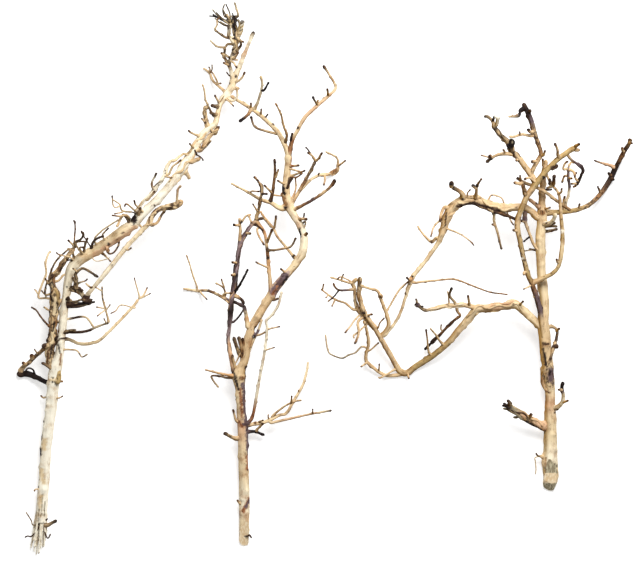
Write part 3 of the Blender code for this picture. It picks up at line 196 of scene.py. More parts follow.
LONG_TWIGS = {
    "trunk": [
        (PALE_TWIG, 1.8, 1.5, 8, (42, 77.5), (38.5, 77.5), (37, 75)),
        (PALE_TWIG, 2, 1.7, -9, (51, 179), (47, 178.5), (44, 181)),
        (PALE_TWIG, 1.8, 1.6, 8, (64, 178), (69.5, 180.5)),
        ("tan brown", 2.4, 2, 8, (64, 196), (69.5, 196.6)),
        ("tan dark", 3.6, 3, 11, (56, 211), (48, 216), (45.5, 216.5)),
        ("tan bark", 2, 1.4, 16, (68, 231.5), (84, 230.5), (90, 223.5), (96.5, 226.5)),
        ("dark bark", 3, 2, 12, (67, 249), (76, 252.5), (84, 253)),
        (
            "straw straw@0.3 dark@0.4 dark@0.55 straw@0.65", 2.8, 2, -12, (65, 262.5), (80, 266),
            (94, 267), (103, 256),
        ),
        ("brown dark@0.2 black@0.5 dark@0.7 black", 5, 2, 18, (80, 281.5), (96, 282.5), (105, 284)),
        ("black dark grey", 3.4, 2.4, 17, (80, 278.5), (90, 279.5), (101, 283)),
        ("dark bark@0.5 black", 2.6, 2, 20, (82, 284), (90, 286.5), (97, 284.5), (102, 287)),
        ("dark", 2.8, 2.4, 16, (76, 287), (75, 289.5)),
        (PALE_TWIG, 2, 1.6, 22, (77, 333), (66, 335.5), (62, 338.5)),
        (PALE_TWIG, 2.2, 2, 20, (84, 348), (94, 350.5)),
        ("dark", 3, 2.4, 22, (101, 343), (103, 350), (108, 354), (115, 356.5)),
        (PALE_TWIG, 2, 1.8, 26, (113, 357), (120, 365)), (PALE_TWIG, 2.2, 2, 24, (88, 343), (93, 344)),
        ("dark brown", 2, 2, -18, (131, 349), (126, 339), (119.5, 337), (119.5, 342)),
        (PALE_TWIG, 2, 1.6, -16, (104, 341), (115, 335), (122, 328)),
        (PALE_TWIG, 3, 2.6, 12, (118, 343), (119, 338)),
        (PALE_TWIG, 2.2, 1.8, 34, (140, 379), (132, 378), (123.5, 379)),
        ("dark tan", 3.4, 2.6, 22, (137, 379), (133, 375), (129, 366)),
        (PALE_TWIG, 2.2, 1.8, 30, (147, 385.5), (139.5, 391.5), (137.5, 388)),
        (PALE_TWIG, 2.2, 2, 30, (150, 390), (148, 395.5)),
        (PALE_TWIG, 2.8, 2.4, 16, (152.5, 381), (155.5, 387)),
        (PALE_TWIG, 2.4, 2, -10, (155, 367), (158, 362), (150, 357.5)),
        ("straw tan", 7, 2.4, -10, (203, 428), (209, 419.5)),
        (PALE_TWIG, 2.6, 2, 16, (219, 466), (211, 469.5), (207, 472.5)),
        (PALE_TWIG, 2.4, 1.9, 18, (214, 452), (208.5, 458)),
        ("tan", 4, 3.4, 9, (211, 438), (220.5, 441.5)),
        ("tan dark@0.7 bark", 3.2, 3, 14, (237, 490), (231, 492)),
        ("bark dark", 4, 3, 9, (238, 499), (232, 500)), (PALE_TWIG, 2.4, 2, 12, (241, 503), (236, 511.5)),
        (PALE_TWIG, 2, 1.6, 16, (252, 504.5), (257.5, 498.5)),
        (PALE_TWIG, 2.6, 2.2, 16, (260, 526), (266, 530), (269.5, 537)),
        (PALE_TWIG, 3, 2.6, -6, (257, 518.5), (263.5, 519)),
        ("bark", 1.6, 1.4, 6, (36, 38), (34, 43), (31, 48), (28, 52.5)),
        ("tan black", 4.5, 3, 8, (52, 38), (60, 42), (62.5, 42)),
        ("dark", 1.6, 1.4, 6, (51, 44), (51.5, 46)),
        ("dark", 1.8, 1.5, 3, (35, 26.5), (30, 26), (26.5, 24.5)),
        ("dark", 2, 1.8, 5, (51.5, 24), (55.5, 28.5)),
        ("tan olive olive", 3.8, 5.4, 5, (59, 217), (63.5, 209), (64.6, 201), (62.5, 193.5)),
        ("bark", 3, 2.4, 5, (74, 284), (79, 286)), ("dark", 2.6, 2, 8, (86, 299), (92, 296)),
        ("bark", 3, 2.4, 6, (82, 330), (81, 334), (80, 340)),
        ("dark", 2, 1.6, 9, (78, 330), (72, 328), (68, 324.5)),
        ("dark", 1.6, 1.4, 6, (90, 360), (90.5, 362)), ("bark", 2, 1.6, -8, (113, 338), (117, 334)),
        ("straw", 1.1, 0.9, 12, (105, 329), (118, 331), (121, 333)),
        ("dark", 2, 1.6, 7, (213, 453), (217, 446)), ("dark", 1.6, 1.4, 6, (221, 443), (224, 439)),
        ("bark", 2.5, 2.2, 6, (224, 453), (232.5, 461.5)), ("bark", 3, 2.4, 5, (236, 468), (239, 472)),
        ("tan", 1.6, 1.2, 8, (241, 502), (247, 511)), ("dark", 1.6, 1.4, 6, (252, 533), (249, 537)),
        ("dark", 2.5, 2.4, 5, (61, 244), (70, 249), (76, 250)),
    ],
    "black_arm": [("black", 2.2, 1.8, 7, (38, 203), (36, 209), (31, 211), (27, 207))],
    "grey_arm": [
        (PALE_TWIG, 3.4, 3, 9, (28, 214), (24.5, 217)), (PALE_TWIG, 4, 3.4, 7, (35, 222), (34.5, 226)),
        (PALE_TWIG, 1.8, 1.5, 12, (41, 227), (37.5, 232)),
    ],
    "strand": [
        (
            "tan dark@0.3 bark@0.5 dark@0.8 tan", 2.4, 2, 10, (54, 310), (58, 322), (63.5, 331),
            (71, 338), (77, 343),
        ),
        ("brown dark tan", 2.2, 1.7, 12, (60, 313), (68, 321), (72.5, 331)),
        ("bark dark", 2.4, 2, 9, (50, 292), (52, 305), (60, 314)),
        (PALE_TWIG, 4.2, 3.4, 10, (53, 236), (47, 235)),
        ("brown dark", 2.4, 1.7, 14, (54, 257), (46, 266), (40, 274.5), (34, 278.5)),
        (PALE_TWIG, 1.8, 1.6, 12, (56, 273.5), (48, 278.5)),
        (PALE_TWIG, 2.2, 1.8, 16, (54, 303), (50, 310)),
        ("bark tan", 3.4, 2.6, "trunk", (64, 280), (67, 286)),
        ("tan", 2.4, 2.2, "trunk", (64, 307), (71, 314)),
        ("bark brown dark", 2.2, 1.8, 20, (82, 350), (83, 362), (83, 369), (81.5, 374)),
        (PALE_TWIG, 2.4, 2, 14, (80, 347), (75, 352)),
        ("bark dark", 3, 2.4, 26, (84, 350), (89, 352.5), (92.5, 357.5), (90, 361)),
    ],
    "long_arm": [
        (PALE_TWIG, 2, 1.5, 8, (153, 290), (149.5, 303), (147.5, 311)),
        (PALE_TWIG, 2.2, 1.6, -5, (157, 290.5), (160, 296), (162, 300.5)),
        (PALE_TWIG, 1.6, 1.5, 4, (148, 277), (133, 280.5), (127, 274), (121, 271)),
        (PALE_TWIG, 1.5, 1.5, 6, (157, 289), (166, 293.5)),
    ],
    "dark_arm": [(PALE_TWIG, 1.6, 1.5, 9, (117, 261), (114.5, 266))],
    "dark_arm_up": [
        (PALE_TWIG, 1.6, 1.5, 6, (114, 277), (106, 278.5)),
        (PALE_TWIG, 1.6, 1.5, 6, (116, 275), (107, 268)),
        (PALE_TWIG, 1.6, 1.5, 7, (113, 296), (105, 300.5)),
        (PALE_TWIG, 1.6, 1.5, 6, (118, 276), (122, 281.5)),
    ],
    "low_hook": [
        (PALE_TWIG, 1.7, 1.5, -8, (42, 292.5), (37.5, 298)),
        (PALE_TWIG, 1.7, 1.5, 8, (50, 291), (45.5, 296.5)),
    ],
    "runner": [
        ("bark", 4.4, 3, 16, (83, 305), (80, 311)),
        (PALE_TWIG, 2, 1.6, 14, (86, 304), (94, 307), (96.5, 309.5)),
        (PALE_TWIG, 2, 1.8, 12, (95, 304), (99.5, 300), (102.5, 300.5)),
        (PALE_TWIG, 2.2, 1.8, 9, (141, 341), (145, 343.5)),
        ("tan bark", 3, 2.6, -8, (167, 369), (173, 371), (178, 380), (182, 385)),
        ("peach straw peach@0.8 tan", 2.8, 2.2, 14, (195, 393), (196, 407), (199.5, 411.5)),
    ],
    "s_arm": [(PALE_TWIG, 1.8, 1.6, 8, (84, 318), (80, 321))],
    "hole_twig": [
        (PALE_TWIG, 1.7, 1.5, 8, (128, 387.5), (125, 390), (124, 401)),
        (PALE_TWIG, 1.8, 1.6, 10, (135, 382.5), (126, 380.5)),
    ],
    "upper_rib": [
        (PALE_TWIG, 2.4, 2, 12, (163, 396), (171, 406)),
        (PALE_TWIG, 2.2, 1.8, 10, (182, 422), (190, 420)),
        (PALE_TWIG, 2.6, 2.2, 12, (186, 424), (190, 432), (200, 440)),
    ],
    "left_rope": [(PALE_TWIG, 2, 1.8, 8, (226, 481), (221.5, 486))],
    "resting_twig": [
        (PALE_TWIG, 2, 1.6, 14, (239, 526), (234, 535.5), (231, 537)),
        (PALE_TWIG, 1.8, 1.5, 12, (231, 538), (229.5, 543)),
        (PALE_TWIG, 1.8, 1.6, 7, (240, 524), (243.5, 524.5)),
        ("bark", 1.6, 1.4, 6, (233, 539.5), (233, 545.5)),
    ],
    "crown": [
        (PALE_TWIG, 2.4, 2, 9, (250, 545), (245.5, 547)),
        (PALE_TWIG, 2.2, 2, 18, (257, 547), (259, 543.5), (261, 541)),
        (PALE_TWIG, 2.6, 2.2, 14, (258, 552), (262.5, 558.5)),
        (PALE_TWIG, 3, 2.4, -7, (260, 562), (263, 563.5)),
        ("slate grey", 1.8, 1.4, 26, (252, 592), (240, 598), (234, 605)),
        ("slate black slate", 1.9, 1.5, 12, (250, 591), (237, 597), (230, 598)),
        ("slate tan slate grey", 1.9, 1.5, 22, (248, 597), (245.3, 604), (247.3, 611)),
        ("slate grey slate", 2, 1.5, 15, (254, 594), (252.5, 602), (248.5, 611)),
        ("straw tan grey", 2, 1.6, -8, (253, 586), (242, 592)),
        ("slate olive@0.3 tan", 3.6, 3, 12, (253, 592), (249, 599.5)),
        ("slate straw slate", 2, 1.5, 20, (252, 589), (244, 596), (238, 602)),
        ("black slate", 2, 1.5, 14, (251, 590), (241, 595.5), (234, 600)),
        ("slate grey", 1.9, 1.5, 24, (252, 594), (248, 600), (245, 606)),
        ("cream tan slate", 2, 1.5, 9, (251, 574), (251, 584), (251, 592), (248, 600)),
        ("straw olive grey", 2.6, 2.2, 10, (262, 580), (263.5, 588), (262, 594)),
        ("slate grey", 1.8, 1.4, 4, (250, 587), (243, 590), (236, 596)),
        ("grey slate", 1.8, 1.4, 28, (255, 592), (257, 597), (255.5, 601)),
        ("straw cream@0.4 cream@0.7 dark", 3.2, 2.4, 14, (256, 570), (252, 577), (251, 587)),
        ("bark dark", 3.2, 2.6, 10, (260, 560), (265, 566), (264, 573)),
        ("cream straw@0.5 cream@0.7 straw", 2.2, 2, 18, (253, 575), (253.5, 582), (254, 590)),
        ("bark grey@0.3 straw@0.6 grey", 2.6, 1.8, 10, (262, 598), (260, 607), (258, 613)),
        ("bark", 2.4, 1.8, 7, (246, 556), (246, 551)), ("dark", 1.8, 1.6, 6, (253, 551), (252.5, 553)),
        ("tan", 1.8, 1.6, 6, (258, 550), (262, 550)),
    ],
    "crown_bow": [(PALE_TWIG, 2, 1.9, 9, (239, 588), (239, 593), (242, 596))],
    "crown_lean": [(PALE_TWIG, 2.4, 2.2, 6, (245, 556), (243.5, 558))],
    "crown_side": [(PALE_TWIG, 2.6, 2, 16, (263, 572), (268.5, 569))],
}
CURVED_STEMS = {
    "trunk": (
        "straw straw@0.05 cream@0.11 straw@0.17 straw@0.23 peach@0.28 straw@0.33 tan@0.45 tan@0.6 "
        "straw@0.72 cream@0.8 tan@0.9 straw", (269.5, 15.5, 5.4, 9.5), (268.6, 22, 5.3, 11.2),
        (268.7, 50, 5.3, 11.5), (268.5, 80, 7.5, 10.8), (267.4, 110, 10.5, 10.3), (266.7, 140, 14, 11.3),
        (265, 170, 18, 10), (264, 190, 21, 11), (262.8, 203, 23, 15), (265.5, 212, 25, 9.8),
        (269, 220, 26.5, 9), (271.5, 235, 29, 9.8), (277, 255, 32, 9), (284, 268, 34, 9.3),
        (291, 280, 36, 8.6), (298, 291, 37.5, 9.6), (306, 303, 39, 9.8), (318, 317, 40, 8.2),
        (326, 327, 40.5, 8.5), (332.5, 339, 41, 9), (334.5, 352, 41, 9), (331, 366, 40, 8.6),
        (324, 378, 39, 8), (318, 389, 38, 10.5), (315, 400, 38.5, 9), (315, 413, 40, 8),
        (316.5, 430, 42.5, 7), (317.5, 447, 45, 6.5),
    ),
    "left_riser": (
        "black dark@0.06 peach@0.1 peach@0.22 lilac@0.28 purple@0.34 black@0.42 purple@0.47 lilac@0.52 "
        "purple@0.57 black@0.64 lilac@0.68 purple@0.75 lilac@0.82 purple@0.88 lilac@0.94 tan",
        (261, 198, 22, 8), (256.5, 210, 25, 5), (253.5, 225, 28, 4.5), (251.2, 242, 31, 4),
        (252.3, 254, 33, 4), (253.5, 272, 36, 5), (254.5, 285, 38, 5.5), (257.5, 300, 41, 5.3),
        (259.5, 318, 44, 4.7), (262, 334, 46, 4.6), (265, 350, 48, 4.8), (271, 360, 48, 4),
        (277, 368.5, 47, 3.8), (283, 373.5, 46, 4),
    ),
    "inner_riser": (
        "peach tan@0.2 orange@0.5 dark@0.6 tan@0.66 orange@0.8 tan", (298, 291, 38, 5.4),
        (296.7, 311, 43, 4), (294.7, 331, 46, 4), (293.3, 347, 48, 3.6), (291, 360, 48, 3.6),
        (285, 369, 47, 3.8), (281.5, 373.5, 46, 4),
    ),
    "top_left": (
        "straw straw@0.5 tan@0.75 straw@0.85 tan", (318, 442, 44, 6), (314, 455, 45, 5.5),
        (307, 468.5, 42, 5.2), (299, 478, 38, 5), (283, 492, 32, 4.5), (269, 501, 26, 4),
        (259, 507, 25.6, 3.2), (253.6, 510.6, 25.6, 2.6),
    ),
    "top_right": (
        "straw@0 straw@0.02 rust@0.07 brown@0.12 rust@0.16 straw@0.22 peach@0.5 straw@0.8 tan@0.9 dark",
        (317.5, 442, 44, 6), (321, 460, 48, 5), (327, 472, 52, 4.2), (335, 486, 55, 4.4),
        (345, 496, 56, 4), (360, 509, 54, 3.5), (368.3, 517, 52, 3.2), (368.3, 523, 52, 3),
        (362, 534, 56, 2.6), (355.5, 543.5, 60, 2.8),
    ),
    "left_reach": (
        "black purple@0.08 tan@0.14 brown@0.22 straw@0.3 brown@0.38 dark@0.5 straw@0.56 brown@0.64 "
        "straw@0.75 straw", (254.5, 283, 38, 4.6), (243, 290, 30, 3.6), (231, 295.5, 17, 3.1),
        (222, 296.5, 6, 3), (217, 296, 1.2, 3), (209, 297.5, 1.2, 2.8), (201, 298.5, 3, 2),
    ),
    "first_bough": (
        "brown tan@0.3 brown@0.5 bark@0.8 dark", (318, 388, 38, 5), (328, 404, 36, 3.7),
        (340, 425, 37, 3.6), (347, 438.5, 40, 3.4),
    ),
    "second_bough": (
        "straw tan@0.6 straw", (329, 406, 36, 4), (340, 417, 29, 3.4), (350, 423, 20, 3.2),
        (359, 424, 8.5, 3.4), (366, 426, 1.6, 4.2), (371, 429, 1.8, 4), (372, 436, 4, 2.8),
        (370, 443, 9, 2.4), (358, 449.5, 17, 2),
    ),
    "third_bough": (
        "tan brown@0.25 purple@0.45 brown@0.55 tan@0.7 brown@0.88 black", (321, 384, 39, 4.4),
        (334, 390.5, 46, 3.4), (352, 401, 54, 3.2), (363, 410, 59, 3.2), (369, 418, 62, 3.8),
    ),
    "wand": (
        "rust rust@0.15 cream@0.25 cream", (268, 147, 15, 5), (274, 152, 17, 3.9), (278, 159, 19, 3.6),
        (282.5, 183, 27, 3.4), (286, 203, 33, 3.2), (290, 222, 39, 3), (292.5, 240, 44, 2.8),
        (294, 255, 48, 2.8), (293, 263, 50, 2.6), (299, 269.5, 52, 2.6), (306, 280, 55, 2.6),
        (310, 295.5, 58, 2.4),
    ),
    "side_arm": (
        "tan straw@0.3 tan@0.5 straw@0.8 straw", (267, 146, 14.5, 5), (276, 148.8, 16, 4.4),
        (291, 151.5, 15, 4), (307, 159, 13, 3.6), (315, 161.5, 11, 3.4), (323, 175, 8.5, 3.2),
        (333, 192.5, 5.5, 2.8), (337.5, 208, 2.2, 2.4), (339, 218, 1.6, 2),
    ),
}
CURVED_LIMBS = {
    "peach_arm": (
        "straw peach@0.4 straw@0.85 dark", "side_arm", 3, 2.2, 13, (298, 151), (308, 153), (328, 157.5),
        (344, 161), (365, 164.5),
    ),
    "over_arm": ("tan", "side_arm", 2.8, 2, 13, (300, 158.5), (312, 168.5), (323, 174), (332, 176)),
    "black_fork": ("black", "trunk", 3.6, 2.6, -7, (276, 141), (281, 141), (286, 139), (291, 137)),
    "left_pair": (
        "orange tan", "trunk", 3.8, 1.8, 13, (254, 203), (248, 204), (237, 206.5), (225, 209.5),
    ),
    "low_pair": (
        "tan dark tan", "trunk", 3, 2, -7, (250, 200.5), (243, 202), (233, 202.5), (234, 198),
        (240.5, 189.5),
    ),
    "yellow_strand": (
        "tan straw@0.3 orange@0.5 straw@0.65 purple@0.85 black", "trunk", 5, 3.6, 7, (273, 257),
        (270.5, 270), (268, 280.5),
    ),
    "reach_twig": (
        "straw tan", "left_reach", 2.2, 1.6, 15, (216.5, 300), (211.7, 314), (208.3, 326), (204.8, 336),
    ),
    "reach_hook": (
        "tan brown@0.5 tan", "left_reach", 2.4, 1.8, 13, (248, 292), (246.5, 298), (244, 301), (237, 305),
    ),
    "long_stick": (
        "tan tan orange", "trunk", 3, 2.2, "inner_riser", (323, 334), (314, 345), (305, 356), (300, 366),
        (289, 379), (287, 383), (284, 380),
    ),
    "cross_stick": (
        "dark tan dark", "inner_riser", 2.8, 2.2, 22, (306, 341.5), (320, 345), (325.5, 354.5),
    ),
    "spray": (
        "tan bark@0.3 straw@0.6 tan@0.8 brown", "left_riser", 3.6, 2.4, 26, (282.5, 378), (285.5, 390),
        (288, 405), (287, 412), (282, 419), (279.5, 421.5),
    ),
    "bent_twig": (
        "tan", "left_riser", 3.4, 2.2, 14, (264, 352), (264.3, 364), (263.5, 375), (266, 372),
        (270.5, 378), (276.5, 380),
    ),
    "left_bough": (
        "tan straw@0.2 tan@0.4 straw", "trunk", 5.4, 2, 20, (308, 387), (298, 393), (286, 397),
        (270, 406), (260, 411), (254, 414.5),
    ),
    "bough_twig": (
        "dark brown dark", "left_bough", 3.8, 2.4, 22, (299, 400), (301, 412), (302.5, 427), (302, 441),
    ),
    "split_twig": ("dark", "trunk", 3, 2.4, 11, (313, 402), (317, 412), (322, 421)),
    "top_twig": (
        "straw cream cream straw", "top_left", 3.5, 2.6, 30, (282, 500), (286, 511), (288.5, 523),
        (287, 532),
    ),
    "middle_wand": (
        "dark tan@0.2 tan", "top_left", 3, 1.9, 40, (313.5, 459), (315.5, 468), (312, 477), (309, 490),
        (303, 502),
    ),
    "left_black": ("tan brown@0.35 black@0.75 black", "top_left", 3.4, 3.2, 14, (272, 489), (263, 482)),
    "low_strand": ("tan dark", "top_left", 3, 2.4, -14, (304, 469), (290, 472.5), (280, 477), (276, 488)),
}
CURVED_TWIGS = {
    "trunk": [
        (PLAIN_TWIG, 2.6, 2.2, 6, (264, 62), (260.5, 66)),
        ("tan tan@0.5 dark", 4.4, 3, 10, (258, 134), (246, 139.5)),
        (PLAIN_TWIG, 2.8, 2.2, 8, (260, 153), (256, 166)),
        ("brown bark@0.5 dark", 4.4, 3.6, 9, (264, 226), (261, 233), (257, 245.5)),
        ("dark brown@0.4 tan@0.6 dark", 4.4, 3.4, 11, (267, 226), (265.5, 234), (262.5, 246)),
        ("dark tan@0.5 brown@0.7 dark", 3.6, 2.8, 9, (268, 228), (267.8, 238), (266.8, 244.5)),
        ("tan", 3, 1.8, 12, (284, 247.5), (292, 250.5)),
        ("brown dark", 2.4, 2, 4, (301, 286), (307, 288)),
        (PLAIN_TWIG, 2.4, 2.2, 10, (313, 317), (308.5, 320.5)),
        (PLAIN_TWIG, 3.2, 2.6, 14, (331, 375), (338, 374.5)),
        (PLAIN_TWIG, 2.8, 2.4, 8, (335, 357), (338, 360)),
        (PLAIN_TWIG, 2.8, 2.4, 12, (320, 433), (329.5, 434)),
        (PLAIN_TWIG, 2.4, 2, 17, (320, 430), (331, 427), (336, 428.5)),
        (PLAIN_TWIG, 2.6, 2.2, 6, (319, 422), (333, 427)),
        (PLAIN_TWIG, 2.2, 1.8, -8, (319, 394), (325, 407), (325, 421)),
        (PLAIN_TWIG, 2.4, 2, 14, (311, 414), (305, 417.5)),
        (
            "straw", 3, 2.4, 10, (269, 212), (272, 222), (275, 232), (279, 242), (283, 250), (286, 258),
            (288, 265),
        ),
        ("dark", 1.8, 1.5, 3, (272, 26), (274, 27), (277, 23.5)),
        ("tan", 1.8, 1.4, 8, (258.5, 214), (261, 220), (264.5, 228)),
        ("dark", 2, 1.8, 6, (333.5, 376), (335, 382)), ("bark", 2, 1.8, 6, (336, 372), (335, 366)),
        ("brown", 1.8, 1.5, 6, (309.5, 403), (311, 399)), ("brown", 2, 1.8, 8, (326, 421), (333, 425.5)),
    ],
    "left_riser": [
        (PLAIN_TWIG, 3, 2.4, 8, (258, 212), (255.5, 226)),
        ("purple black dark", 2.4, 1.9, "yellow_strand", (257, 262), (263, 268), (269, 277)),
        ("brown tan@0.3 dark@0.6 black", 3.4, 3.2, "yellow_strand", (258, 291), (266, 286)),
        ("black", 3, 2.2, 24, (260, 297), (268, 310), (273, 320)),
        (PLAIN_TWIG, 2.8, 2.4, 8, (257, 314), (254.5, 313)),
        (PLAIN_TWIG, 2.6, 2.4, 9, (259, 327), (255, 327.5)),
        (PLAIN_TWIG, 2.6, 2.4, 9, (272, 359), (276, 359)),
        ("dark", 2.4, 2, 5, (278, 369), (283, 367.5), (290, 362)),
        ("dark", 2.4, 2, 4, (281, 374), (288, 375), (290, 376)),
        ("bark", 2, 1.8, 8, (289, 376), (298.5, 365.5)),
    ],
    "yellow_strand": [("black purple@0.5 black", 3.6, 3, 8, (266, 280), (257, 284.5))],
    "inner_riser": [
        (PLAIN_TWIG, 2.2, 1.8, 14, (294, 322), (287, 325), (281, 328)),
        (PLAIN_TWIG, 3, 2.6, 16, (294, 350), (299.5, 364)),
        (PLAIN_TWIG, 2.4, 2, 16, (283, 364), (285, 356), (291, 346)),
    ],
    "long_stick": [(PLAIN_TWIG, 2.4, 2.2, 14, (302, 366), (303.8, 379))],
    "left_reach": [
        (PLAIN_TWIG, 1.8, 1.5, 11, (221, 294), (228, 286)),
        (PLAIN_TWIG, 1.8, 1.6, 8, (249, 285.5), (252, 282)),
        (PLAIN_TWIG, 2.2, 1.8, 12, (247, 293), (256, 294)),
    ],
    "reach_hook": [(PLAIN_TWIG, 2, 1.7, 8, (246.5, 300), (243.5, 309.5))],
    "wand": [
        (PLAIN_TWIG, 1.8, 1.5, 7, (292, 231), (302.5, 234)),
        (PLAIN_TWIG, 1.8, 1.5, 8, (295, 254), (308.5, 257)),
    ],
    "black_fork": [(PLAIN_TWIG, 2.8, 2.4, 9, (283, 144), (290, 150.5))],
    "side_arm": [
        (PLAIN_TWIG, 2, 1.8, 8, (285, 152), (290, 154)), ("tan", 1.8, 1.5, 5, (295, 157), (295, 160.5)),
        ("tan", 1.6, 1.4, 5, (329, 185), (328, 187)),
    ],
    "over_arm": [(PLAIN_TWIG, 2, 1.8, 9, (320, 173), (321, 181))],
    "peach_arm": [(PLAIN_TWIG, 1.8, 1.6, 8, (344, 161.5), (344, 166.5))],
    "spray": [
        (PLAIN_TWIG, 2, 1.8, 10, (283, 384), (278, 392)),
        ("dark", 2.4, 2.2, 7, (288, 402.5), (294.5, 402.5)),
    ],
    "bent_twig": [
        (PLAIN_TWIG, 2.6, 2.4, 8, (263, 368), (257, 368.5)),
        (PLAIN_TWIG, 2.2, 2, 10, (274, 378), (277, 370)),
    ],
    "left_bough": [(PLAIN_TWIG, 1.9, 1.6, 14, (277, 405.5), (286, 405))],
    "bough_twig": [
        (PLAIN_TWIG, 2.2, 2, 7, (303.5, 421), (306.5, 430)),
        (PLAIN_TWIG, 2.4, 2.2, 12, (299, 404), (290.5, 412.4)),
        (PLAIN_TWIG, 2, 1.8, "trunk", (303, 401), (309, 400.5)),
    ],
    "first_bough": [
        (PLAIN_TWIG, 2.6, 2.2, 10, (344, 444), (338, 448.5)),
        (PLAIN_TWIG, 2.6, 2.4, 14, (350, 441), (354.5, 448)),
        ("dark", 1.8, 1.6, 6, (339, 451), (336, 454)),
    ],
    "second_bough": [
        (PLAIN_TWIG, 2.2, 2, 12, (357.5, 418), (356, 412)),
        (PLAIN_TWIG, 2.2, 2, 9, (374, 435), (380.5, 440)), ("bark", 1.8, 1.5, 6, (350, 423), (351, 426)),
    ],
    "top_twig": [("black", 2.6, 2.2, 10, (290.5, 516.5), (296, 525.5))],
    "top_left": [
        (PLAIN_TWIG, 2.2, 2, 10, (276, 499), (276, 503)),
        (PLAIN_TWIG, 2.2, 2, 9, (287, 491), (287.5, 496.5)),
        ("dark", 1.8, 1.6, 5, (293, 488), (295, 491)),
    ],
    "top_right": [
        ("dark", 2.6, 2, 12, (320, 462), (321.5, 469.5)),
        ("tan black", 2.6, 2.4, 15, (348, 502), (344, 508.5)),
        (PLAIN_TWIG, 2.6, 2.2, 12, (361, 511), (360, 518)), ("tan", 2, 1.8, 6, (349, 502), (350, 506)),
    ],
}
